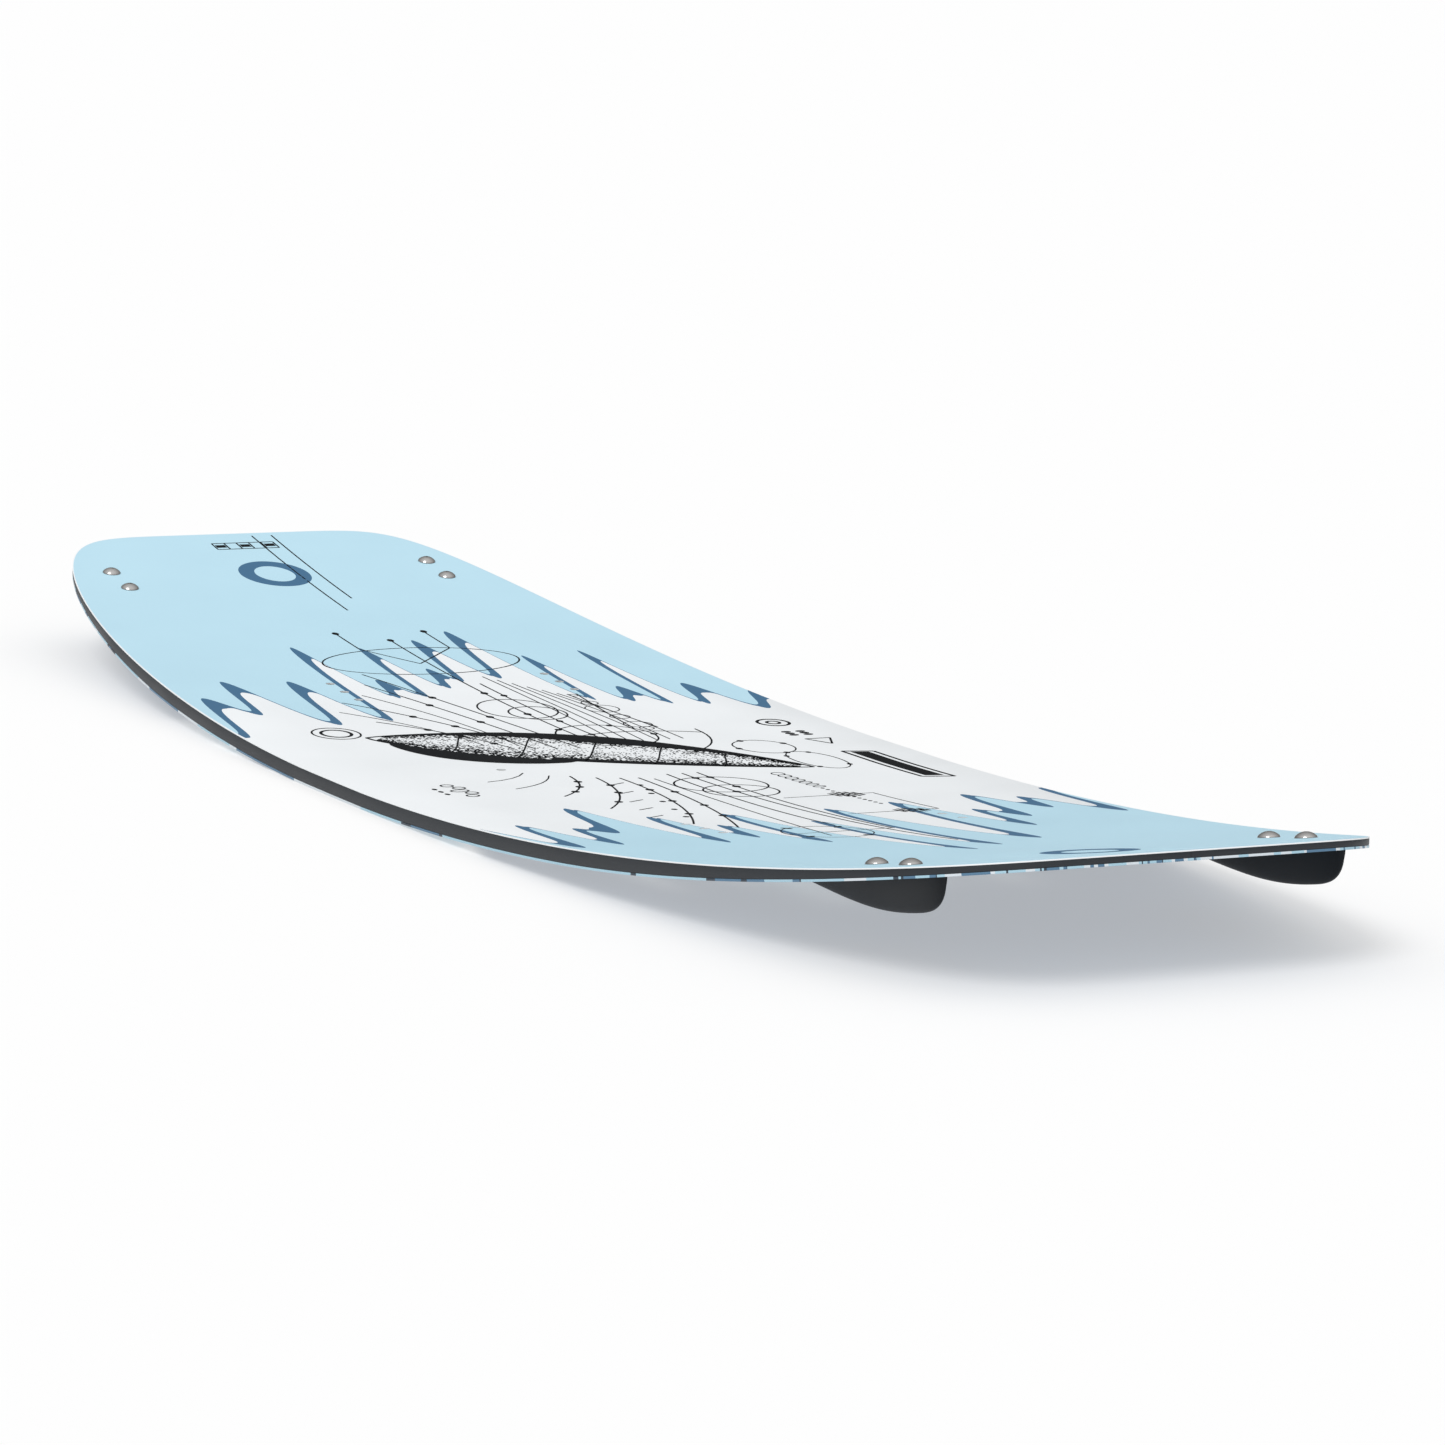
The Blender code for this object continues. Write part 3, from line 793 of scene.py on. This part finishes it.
def bow(start, end, sag=0.0, width=LINE):
    """A line from start to end that swings sideways by sag at its middle. Returns its points."""
    run, rise = end[0] - start[0], end[1] - start[1]
    length = math.hypot(run, rise)
    steps = max(2, round(length / ART_STEP))
    points = []
    for k in range(steps + 1):
        share = k / steps
        swing = 4 * sag * share * (1 - share) / length
        points.append((start[0] + run * share - rise * swing, start[1] + rise * share + run * swing))
    stroke(points, width)
    return points


def ring(x, y, along, across, width=LINE, steps=56):
    points = []
    for k in range(steps + 1):
        angle = math.tau * k / steps
        points.append((x + along * math.cos(angle), y + across * math.sin(angle)))
    stroke(points, width, closed=True)


def disc(x, y, along, across, slant=0.0, columns=9):
    """A filled oval, turned by slant. Its two ends are cut off a little, so no column shrinks to a point."""
    def place(column, row):
        angle = math.pi * (0.02 + 0.96 * column / (columns - 1))
        u, v = -along * math.cos(angle), across * math.sin(angle) * (2 * row / 4 - 1)
        turned_u = u * math.cos(slant) - v * math.sin(slant)
        turned_v = u * math.sin(slant) + v * math.cos(slant)
        return on_deck(x + turned_u, y + turned_v)
    marks.append(shaped_grid("mark", columns, 5, place))


def outline(points, width):
    """Straight lines from each point to the next and back to the first."""
    for start, end in zip(points, points[1:] + points[:1]):
        bow(start, end, 0.0, width)


def beads(points, shares, size=0.0034):
    for share in shares:
        x, y = points[round(share * (len(points) - 1))]
        disc(x, y, size, size * 0.8)


def ink_marks(name, finish, lift=0.0):
    """Joins all waiting marks into one piece of ink."""
    only(marks[0])
    for mark in marks:
        mark.select_set(True)
    bpy.ops.object.join()
    ink = bpy.context.object
    marks.clear()
    ink.name = ink.data.name = name
    ink.data.transform(Matrix.Translation((0, 0, lift)))
    edit(ink, weld)
    thicken(ink, 2 * INK)
    smooth(ink)
    dress(ink, finish, "printed_sheet", "board")


# %% Guide lines, pins and fans
for y, end_x in ((0.030, -0.525), (0.014, -0.495)):
    bow((-0.683, y), (end_x, y))
for y, x in ((0.047, -0.432), (0.012, -0.412), (-0.021, -0.436)):
    disc(x, y, 0.0036, 0.0026)
bow((-0.432, 0.047), (-0.385, 0.047))
bow((-0.385, 0.047), (-0.345, 0.006))
bow((-0.436, -0.021), (-0.392, -0.021))
bow((-0.392, -0.021), (-0.345, 0.006))
beads(bow((-0.412, 0.012), (-0.100, 0.014)), (0.5, 0.74))
beads(bow((-0.280, 0.023), (-0.085, 0.026)), (0.22, 0.66, 0.9), 0.0030)
ring(-0.352, 0.010, 0.038, 0.075)
left_fan = (((-0.322, -0.049), (-0.060, -0.004), 0.008), ((-0.292, -0.060), (-0.062, -0.020), 0.008),
            ((-0.243, -0.098), (-0.066, -0.034), 0.012), ((-0.180, -0.100), (-0.072, -0.048), 0.008))
for start, end, sag in left_fan:
    beads(bow(start, end, sag), (0.3, 0.55, 0.8))
for y, end_x in ((0.028, 0.330), (0.017, 0.420)):
    beads(bow((0.048, y), (end_x, y * 0.6)), (0.06, 0.22))
right_fan = (((0.055, -0.018), (0.280, -0.062), 0.010), ((0.052, -0.030), (0.252, -0.078), 0.012),
             ((0.046, -0.044), (0.166, -0.092), 0.010), ((0.036, -0.058), (0.108, -0.096), 0.008))
for start, end, sag in right_fan:
    beads(bow(start, end, sag), (0.25, 0.5, 0.75))
bow((0.048, 0.006), (0.300, -0.006))
print(len(marks), "marks so far")

# %% Finer guide lines and their measuring ticks
for k in range(6):
    bow((-0.300 + 0.012 * k, 0.034 + 0.006 * k), (-0.075, 0.030 + 0.010 * k), 0.006, FINE)
bow((-0.262, -0.075), (-0.080, -0.040), 0.010, FINE)
bow((-0.215, -0.112), (-0.088, -0.062), 0.010, FINE)
for k in range(5):
    x = 0.070 + 0.034 * k
    bow((x, -0.036 - 0.010 * k), (x + 0.006, -0.048 - 0.010 * k), 0.0, LINE)
    disc(x + 0.012, -0.030 - 0.009 * k, 0.0026, 0.0020)
bow((0.062, -0.010), (0.350, -0.036), 0.006, FINE)
bow((0.030, -0.070), (0.070, -0.112), 0.006, FINE)
bow((0.016, -0.082), (0.040, -0.118), 0.005, FINE)
ring(-0.030, 0.118, 0.026, 0.020, FINE)
ring(0.028, 0.128, 0.034, 0.016, FINE)
for angle in (0.2, 1.9, 3.4, 4.8):
    disc(-0.030 + 0.026 * math.cos(angle), 0.118 + 0.020 * math.sin(angle), 0.0030, 0.0022)
    disc(0.028 + 0.034 * math.cos(angle + 0.7), 0.128 + 0.016 * math.sin(angle + 0.7), 0.0026, 0.0020)

# %% Circles, ornaments and small signs
ring(-0.198, 0.014, 0.032, 0.027)
ring(-0.182, 0.022, 0.022, 0.020)
ring(-0.098, 0.034, 0.038, 0.034)
for angle in (0.4, 1.5, 2.6, 3.9, 5.2):
    disc(-0.098 + 0.038 * math.cos(angle), 0.034 + 0.034 * math.sin(angle), 0.0030, 0.0024)
bow((-0.105, 0.104), (-0.020, 0.055), 0.014)
bow((-0.092, -0.004), (-0.092, 0.104), 0.016)
small_rings = ((-0.232, 0.003), (-0.206, 0.006), (-0.186, 0.012), (-0.158, 0.007), (-0.130, 0.010),
               (-0.116, 0.005))
for x, size in small_rings:
    ring(x, 0.073, size, size, HAIR, 24)
bow((-0.236, 0.070), (-0.118, 0.082))
bow((-0.236, 0.077), (-0.118, 0.064))
ring(0.098, 0.020, 0.032, 0.030)
ring(0.126, 0.020, 0.026, 0.024)
ring(0.330, -0.028, 0.034, 0.026, HAIR)
for angle in (0.5, 2.3, 3.6, 5.3):
    disc(0.330 + 0.034 * math.cos(angle), -0.028 + 0.026 * math.sin(angle), 0.0045, 0.0020, angle)
bow((0.330, -0.054), (0.330, 0.018), 0.0, HAIR)
for k in range(7):
    ring(0.070 + 0.0095 * k, 0.076, 0.0052 - 0.0004 * k, 0.0042, FINE, 20)
for k in range(12):
    disc(0.135 + 0.0070 * k, 0.074, 0.0016, 0.0014)
for x in (0.165, 0.250):
    for k in range(5):
        half = 0.0105 * math.sqrt(1 - ((k - 2) / 2.6) ** 2)
        bow((x - half, 0.074 + 0.0042 * (k - 2)), (x + half, 0.074 + 0.0042 * (k - 2) + 0.002), 0.0, BOLD)
    bow((x, 0.030), (x, 0.094), 0.0, HAIR)
bow((0.165, 0.094), (0.250, 0.094), 0.0, HAIR)
ring(-0.112, 0.168, 0.012, 0.011, BOLD, 32)
ring(-0.112, 0.168, 0.005, 0.0045, BOLD, 20)
for k in range(6):
    disc(-0.078 + 0.006 * (k % 3), 0.160 + 0.011 * (k // 3), 0.0026, 0.0036)
outline([(-0.050, 0.160), (-0.050, 0.179), (-0.028, 0.169)], MEDIUM)
for k in range(5):
    ring(0.045 + 0.010 * k, -0.149 + 0.004 * (k % 2), 0.0040, 0.0060 if k == 2 else 0.0040, LINE, 20)
for k in range(3):
    disc(0.055 + 0.010 * k, -0.162, 0.0030, 0.0016)

# %% Plain block with its frame, and a scale bar
BLOCK_X = (0.002, 0.112)
BLOCK_Y = (0.160, 0.181)
BLOCK_SLANT = 0.006
SCALE_X = (-0.668, -0.654)
BAR_MARGIN = 0.004


def slanted_bar(x_range, y_range, slant=0.0):
    def place(column, row):
        x = x_range[0] + (x_range[1] - x_range[0]) * column / 8 + slant * row
        return on_deck(x, y_range[row])
    marks.append(shaped_grid("mark", 9, 2, place))


slanted_bar((BLOCK_X[0] + BAR_MARGIN, BLOCK_X[1] - BAR_MARGIN), (BLOCK_Y[0] + 0.0045, BLOCK_Y[1] - 0.0045),
            BLOCK_SLANT * 0.57)
outline([(BLOCK_X[0], BLOCK_Y[0]), (BLOCK_X[1], BLOCK_Y[0]), (BLOCK_X[1] + BLOCK_SLANT, BLOCK_Y[1]),
         (BLOCK_X[0] + BLOCK_SLANT, BLOCK_Y[1])], BOLD)
for x in SCALE_X:
    bow((x, -0.025), (x, 0.025))
for k in range(6):
    bow((SCALE_X[0], -0.025 + 0.010 * k), (SCALE_X[1], -0.025 + 0.010 * k))
for k in (0, 2, 4):
    slanted_bar((SCALE_X[0] + BAR_MARGIN, SCALE_X[1] - BAR_MARGIN), (-0.024 + 0.010 * k, -0.016 + 0.010 * k))
ink_marks("line_drawing", BLACK_INK)

# %% [markdown]
# ## The stippled spindle
#
# The large dark motif in the middle is a spindle: a long shape that swells between two points. Its outline
# and a shaded crescent are strokes and a filled grid. Its body is stippled with some thousands of dots that
# crowd towards the edge. One operator call for each dot would be slow, so the mesh module makes them in one
# loop, from a seeded random source.

# %% Spindle outline and shade
SPINDLE_START = (-0.132, -0.128)
SPINDLE_END = (0.052, 0.112)
SPINDLE_HALF = 0.052
SPINDLE_BOW = 0.016
SPINDLE_LENGTH = math.dist(SPINDLE_START, SPINDLE_END)
SPINDLE_RUN = [(last - first) / SPINDLE_LENGTH for first, last in zip(SPINDLE_START, SPINDLE_END)]
SHADE_START = 0.06
SHADE_END = 0.50
SHADE_DEEP = 0.026
RIB = 0.0012


def spindle_half(share):
    return SPINDLE_HALF * max(math.sin(math.pi * share), 0.0) ** 0.8 * (1.1 - 0.35 * share)


def in_spindle(share, offset):
    """A point at a share of the spindle's length, offset sideways in metres."""
    side = offset + SPINDLE_BOW * math.sin(math.pi * share)
    along = share * SPINDLE_LENGTH
    return (SPINDLE_START[0] + SPINDLE_RUN[0] * along - SPINDLE_RUN[1] * side,
            SPINDLE_START[1] + SPINDLE_RUN[1] * along + SPINDLE_RUN[0] * side)


def shade_edge(share):
    """The outer side of the crescent that lies along the spindle."""
    swell = math.sin(math.pi * max(share - SHADE_START, 0.0) / (SHADE_END - SHADE_START)) ** 0.6
    return -spindle_half(share) - 0.0003 - SHADE_DEEP * swell


def filled_band(low, high, inner, outer, steps=40):
    """Ink between two offset rules, over a range of the spindle's length."""
    def place(column, row):
        share = low + (high - low) * column / (steps - 1)
        near, far = inner(share), outer(share)
        return on_deck(*in_spindle(share, near + (far - near) * row / 4))
    marks.append(shaped_grid("mark", steps, 5, place))


for side in (-1, 1):
    stroke([in_spindle(k / 60, side * spindle_half(k / 60)) for k in range(61)], BOLD)
filled_band(0.02, 0.98, spindle_half, lambda s: spindle_half(s) * (0.50 + 0.4 * abs(2 * s - 1)))
filled_band(SHADE_START, SHADE_END, lambda s: -spindle_half(s) - 0.0002, shade_edge)
filled_band(0.44, 0.95, lambda s: -spindle_half(s), lambda s: -spindle_half(s) * 0.78)
for share in (0.2, 0.35, 0.5, 0.65, 0.8):
    half = spindle_half(share)
    rib = [in_spindle(share + 0.015 * math.cos(math.pi * k / 12), half * (k / 6 - 1)) for k in range(13)]
    stroke(rib, RIB)
ring(-0.150, -0.142, 0.012, 0.010, BOLD, 32)
ring(-0.150, -0.142, 0.019, 0.016, LINE, 40)
ink_marks("spindle_lines", BLACK_INK, INK_STEP)

# %% Stipple
STIPPLE_DOTS = 4800
STIPPLE_SIDES = 6
STIPPLE_SMALL = 0.0005
STIPPLE_LARGE = 0.0011
chance = random.Random(11)
stipple_mesh = bmesh.new()
dots = 0
while dots < STIPPLE_DOTS:
    share = chance.uniform(0.03, 0.97)
    offset = chance.uniform(-1.0, 1.0)
    if chance.random() > 0.16 + 0.84 * abs(offset) ** 1.3:
        continue
    x, y = in_spindle(share, offset * spindle_half(share) * 0.97)
    size = STIPPLE_SMALL + (STIPPLE_LARGE - STIPPLE_SMALL) * abs(offset)
    bmesh.ops.create_circle(stipple_mesh, cap_ends=True, segments=STIPPLE_SIDES, radius=size,
                            matrix=Matrix.Translation(on_deck(x, y)))
    dots += 1
stipple_data = bpy.data.meshes.new("stipple")
stipple_mesh.to_mesh(stipple_data)
stipple_mesh.free()
stipple = bpy.data.objects.new("stipple", stipple_data)
bpy.context.scene.collection.objects.link(stipple)
thicken(stipple, 1.5 * INK)
dress(stipple, BLACK_INK, "printed_sheet", "board")

# %% Steel-blue rings near the tips
TIP_RING = (0.592, -0.004)
for end in (-1, 1):
    ring(end * TIP_RING[0], TIP_RING[1], 0.025, 0.021, 0.012, 64)
ink_marks("tip_rings", STEEL_INK)

# %% [markdown]
# ## The fins
#
# A fin is a low moulded blade: thick at its root where the screws bite, thin and rounded at its edge. A grid
# runs along the fin one way and round its section the other way. Two blind pockets in the root hold the brass
# inserts.

# %% Fin shape
fin_low, fin_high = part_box("fin_right_heel")
FIN_FRONT = fin_low[0]
FIN_END = fin_high[0]
FIN_DEEPEST = 0.614
FIN_CLOSE = 0.648
FIN_FRONT_POWER = 1.2
FIN_BACK_POWER = 3.6
FIN_BACK_ROOT = 0.385
FIN_DEPTH = 0.0200
FIN_NOSE = 0.0010
FIN_HALF = 0.0058
FIN_LENGTH_POINTS = 60
FIN_SECTION_POINTS = 14
POCKET_RADIUS = 0.0042
POCKET_DEPTH = 0.0094
CUTTER_LENGTH = 0.04


def fin_depth(x):
    if x <= FIN_DEEPEST:
        share = (x - FIN_FRONT) / (FIN_DEEPEST - FIN_FRONT)
        return FIN_NOSE + (FIN_DEPTH - FIN_NOSE) * math.sin(math.pi / 2 * share) ** FIN_FRONT_POWER
    share = min((x - FIN_DEEPEST) / (FIN_CLOSE - FIN_DEEPEST), 1.0)
    return FIN_DEPTH * (1 - share ** FIN_BACK_POWER) ** FIN_BACK_ROOT


def fin_half(x, angle):
    """Half the fin's thickness, for an angle that runs from the root, 0, to the edge, a quarter turn."""
    along = 2 * (x - FIN_FRONT) / (FIN_END - FIN_FRONT) - 1
    plan = max(0.16, math.sqrt(max(1 - along ** 4, 0.0)))
    return FIN_HALF * plan * (0.72 * math.cos(angle) + 0.28 * math.cos(angle) ** 0.4)


def make_fin(corner, end, rail):
    half_turn = FIN_SECTION_POINTS - 1
    around = 2 * half_turn + 1

    def place(column, row):
        share = column / (FIN_LENGTH_POINTS - 1)
        x = FIN_FRONT + (FIN_END - FIN_FRONT) * math.sin(math.pi / 2 * share) ** 0.9
        step = row % around
        side = 1 if step <= half_turn else -1
        angle = math.pi / 2 * min(step, 2 * half_turn - step) / half_turn
        y = rail * FIN_Y + side * fin_half(x, min(angle, math.pi / 2 - 0.0001))
        return Vector((end * x, y, base_height(x) - math.sin(angle) * fin_depth(x)))
    fin = shaped_grid(f"blade_{corner}", FIN_LENGTH_POINTS, around + 1, place)
    edit(fin, weld, close_holes, face_outwards)
    for number in (1, 2):
        x, y = screw_spots[f"{corner}_{number}"]
        bpy.ops.object.select_all(action="DESELECT")
        bpy.ops.mesh.primitive_cylinder_add(vertices=32, radius=POCKET_RADIUS, depth=CUTTER_LENGTH)
        pocket = bpy.context.object
        root = deck_height(x) - base_height(x)
        pocket.data.transform(seat(x, y, CUTTER_LENGTH / 2 - root - POCKET_DEPTH))
        cut_away(fin, pocket)
    smooth(fin, 35)
    dress(fin, FIN_PLASTIC, "fin_plastic", f"{corner}_fin", f"fin_{corner}")


for corner, end, rail in corners:
    make_fin(corner, end, rail)

# %% [markdown]
# ## The fin screws
#
# Each screw is a stainless M6 with a low dome head, a cross recess and a threaded shank. The head is spun
# from a profile with a rounded rim. The recess is cut with two crossed, tapered blocks.

# %% Screw profile
HEAD_RADIUS = 0.0067
HEAD_HEIGHT = 0.0038
HEAD_RIM = 0.0007
THREAD_OUTER = 0.0029
THREAD_ROOT = 0.0024
PITCH = 0.001
SCREW_LENGTH = 0.016
RIM_TUCK = 0.00025
RIM_FROM = 0.4
RIM_TO = 1.97
RECESS_DEPTH = 0.0020
RECESS_REACH = 0.0024
RECESS_WIDTH = 0.0011
RECESS_TAPER = 0.45
HEAD_GAP = 0.0001


def screw_profile():
    rise = HEAD_HEIGHT - HEAD_RIM
    sphere = (HEAD_RADIUS ** 2 + rise ** 2) / (2 * rise)
    sweep = math.asin(HEAD_RADIUS / sphere)
    points = []
    for k in range(13):
        angle = sweep * k / 13
        points.append((sphere * math.sin(angle), HEAD_HEIGHT - sphere * (1 - math.cos(angle))))
    for k in range(5):
        angle = math.pi / 2 * k / 4
        tuck = RIM_TUCK * (1 - math.sin(angle + RIM_FROM) / math.sin(RIM_TO))
        points.append((HEAD_RADIUS - tuck, HEAD_RIM * (1 - k / 4) * 0.9))
    points += [(HEAD_RADIUS - 0.0003, 0.0), (THREAD_OUTER, 0.0)]
    z = -0.0020
    while z > PITCH - SCREW_LENGTH:
        points += [(THREAD_OUTER, z), (THREAD_ROOT, z - PITCH * 0.5), (THREAD_OUTER, z - PITCH * 0.92)]
        z -= PITCH
    points += [(THREAD_ROOT, -SCREW_LENGTH), (0.0, -SCREW_LENGTH)]
    return points


def cross_recess():
    blocks = []
    for turn in (0, math.pi / 2):
        bpy.ops.object.select_all(action="DESELECT")
        bpy.ops.mesh.primitive_cube_add(size=1.0)
        block = bpy.context.object
        for point in block.data.vertices:
            taper = 1.0 if point.co.z > 0 else RECESS_TAPER
            point.co = (point.co.x * 2 * RECESS_REACH * taper, point.co.y * RECESS_WIDTH * taper,
                        point.co.z * 2 * RECESS_DEPTH)
        block.data.transform(Matrix.Translation((0, 0, HEAD_HEIGHT)) @ Matrix.Rotation(turn, 4, "Z"))
        blocks.append(block)
    return blocks


screw_model = turned_piece("screw_model", screw_profile(), 48)
for block in cross_recess():
    cut_away(screw_model, block)
smooth(screw_model, 32)
keep_axis_distance(screw_model)
for spot, (x, y) in screw_spots.items():
    corner, number = spot.rsplit("_", 1)
    quarter = random.Random(spot).uniform(0, math.pi / 2)
    place = seat(x, y, HEAD_GAP) @ Matrix.Rotation(quarter, 4, "Z")
    screw = copy_to(screw_model, f"screw_{spot}", place)
    dress(screw, STEEL, "stainless", f"{corner}_screw_{number}", f"fin_screw_{spot}")
bpy.data.objects.remove(screw_model, do_unlink=True)

# %% [markdown]
# ## The deck inserts
#
# Fourteen threaded steel inserts sit just under the sheet: six under each foot for the bindings, and two for
# a grab handle. Each is a turned sleeve with a flange, a closed floor and an M6 thread, whose ridges are part
# of the turned profile.

# %% Insert profile
FLANGE_RADIUS = 0.0070
FLANGE = 0.0012
BODY_RADIUS = 0.0050
BORE = 0.0026
RIDGE = 0.0003
INSERT_LENGTH = 0.0060
INSERT_FLOOR = 0.0008
INSERT_DROP = 0.0016
insert_profile = [(0.0, INSERT_FLOOR - INSERT_LENGTH), (BORE + RIDGE, INSERT_FLOOR - INSERT_LENGTH)]
z = INSERT_FLOOR - INSERT_LENGTH
while z < -PITCH:
    for radius, share in ((BORE + RIDGE, 0.1), (BORE, 0.5), (BORE + RIDGE, 0.9)):
        insert_profile.append((radius, z + PITCH * share))
    z += PITCH
insert_profile += [
    (BORE + RIDGE, -RIDGE), (BORE + 2 * RIDGE, 0.0), (FLANGE_RADIUS - RIDGE, 0.0), (FLANGE_RADIUS, -RIDGE),
    (FLANGE_RADIUS, -FLANGE), (BODY_RADIUS, -FLANGE), (BODY_RADIUS, -INSERT_LENGTH), (0.0, -INSERT_LENGTH),
]
insert_model = turned_piece("insert_model", insert_profile, 40)
smooth(insert_model, 32)
keep_axis_distance(insert_model)
for node, (x, y) in insert_spots.items():
    sleeve = copy_to(insert_model, node.replace("insert", "sleeve"), seat(x, y, -INSERT_DROP))
    dress(sleeve, STEEL, "stainless", "board", node)
bpy.data.objects.remove(insert_model, do_unlink=True)

# %% Finishes for the frame nodes that stay
hidden_finishes = {"wood_core": WOOD, "fin_block": BLOCK, "fin_insert": BRASS}
for node, thing in frame["nodes"].items():
    for start, finish in hidden_finishes.items():
        if node.startswith(start):
            for material_slot in thing.material_slots:
                material_slot.material = finish

# %% [markdown]
# ## Studio, light and camera
#
# The board rests on a plain pale floor that glows a little, like a light table, so its shadow stays soft and
# the dark fins stand out against it. A sky that is brightest overhead gives even light, a soft sun on the toe
# side puts a highlight on each screw, and the camera looks along the deck from just above the right tip.

# %% Floor and light
FLOOR_TONE = 0.56
FLOOR_GLOW = 0.40
SUN_STRENGTH = 1.15
SUN_PLACE = Vector((1.5, -2.0, 3.0))
bpy.ops.object.select_all(action="DESELECT")
bpy.ops.mesh.primitive_plane_add(size=160.0, location=(0, 0, -0.0003))
floor = bpy.context.object
floor.name = "studio_floor"
floor_finish = bpy.data.materials.new("studio_floor")
floor_finish.use_nodes = True
floor_shader = floor_finish.node_tree.nodes["Principled BSDF"]
floor_shader.inputs["Base Color"].default_value = (FLOOR_TONE, FLOOR_TONE, FLOOR_TONE, 1.0)
floor_shader.inputs["Roughness"].default_value = 0.9
floor_shader.inputs["Specular IOR Level"].default_value = 0.0
floor_shader.inputs["Emission Color"].default_value = (1.0, 1.0, 1.0, 1.0)
floor_shader.inputs["Emission Strength"].default_value = FLOOR_GLOW
floor.data.materials.append(floor_finish)

soft_sun = bpy.data.lights.new("soft_sun", "SUN")
soft_sun.energy = SUN_STRENGTH
soft_sun.angle = math.radians(26)
lamp = bpy.data.objects.new("soft_sun", soft_sun)
bpy.context.scene.collection.objects.link(lamp)
lamp.location = SUN_PLACE
lamp.rotation_euler = (-SUN_PLACE).to_track_quat("-Z", "Y").to_euler()

# %% A sky that is brighter overhead, and darker beyond the board
SKY_HORIZON = 0.18
SKY_OVERHEAD = 1.20
SKY_NEAR = 1.25
SKY_BEYOND = 0.55
BEYOND = (-0.887, 0.462, 0.0)
world = bpy.data.worlds.new("studio")
bpy.context.scene.world = world
world.use_nodes = True
sky = world.node_tree
direction = add_node(sky, "ShaderNodeTexCoord")
upward = add_node(sky, "ShaderNodeSeparateXYZ")
height = add_node(sky, "ShaderNodeMapRange", in_1=0.0, in_2=1.0, in_3=SKY_HORIZON, in_4=SKY_OVERHEAD)
beyond = add_node(sky, "ShaderNodeVectorMath", operation="DOT_PRODUCT", in_1=BEYOND)
side = add_node(sky, "ShaderNodeMapRange", in_1=-1.0, in_2=1.0, in_3=SKY_NEAR, in_4=SKY_BEYOND)
brightness = math_node(sky, "MULTIPLY")
background = sky.nodes["Background"]
background.inputs["Color"].default_value = (1.0, 1.0, 1.0, 1.0)
wire(sky, (direction, "Generated", upward, 0), (direction, "Generated", beyond, 0),
     (upward, "Z", height, "Value"), (beyond, "Value", side, "Value"), (height, "Result", brightness, 0),
     (side, "Result", brightness, 1), (brightness, 0, background, "Strength"))

# %% Camera
CAMERA_PLACE = (3.1033, -1.5422, 0.5872 + DECK_MIDDLE)
CAMERA_HEADING = math.radians(152.54)
CAMERA_DIP = math.radians(9.158)
CAMERA_ROLL = math.radians(1.702)
CAMERA_LENS = 133.5

lens = bpy.data.cameras.new("camera")
lens.lens = CAMERA_LENS
lens.sensor_width = 36.0
lens.clip_end = 400.0
camera = bpy.data.objects.new("camera", lens)
bpy.context.scene.collection.objects.link(camera)
bpy.context.scene.camera = camera
level = math.cos(CAMERA_DIP)
forward = Vector((math.cos(CAMERA_HEADING) * level, math.sin(CAMERA_HEADING) * level, -math.sin(CAMERA_DIP)))
right = Vector((math.sin(CAMERA_HEADING), -math.cos(CAMERA_HEADING), 0.0))
up = right.cross(forward)
turned_right = right * math.cos(CAMERA_ROLL) + up * math.sin(CAMERA_ROLL)
turned_up = up * math.cos(CAMERA_ROLL) - right * math.sin(CAMERA_ROLL)
rotation = Matrix((turned_right, turned_up, -forward)).transposed().to_4x4()
camera.matrix_world = Matrix.Translation(CAMERA_PLACE) @ rotation
bpy.context.scene.view_settings.view_transform = "Standard"
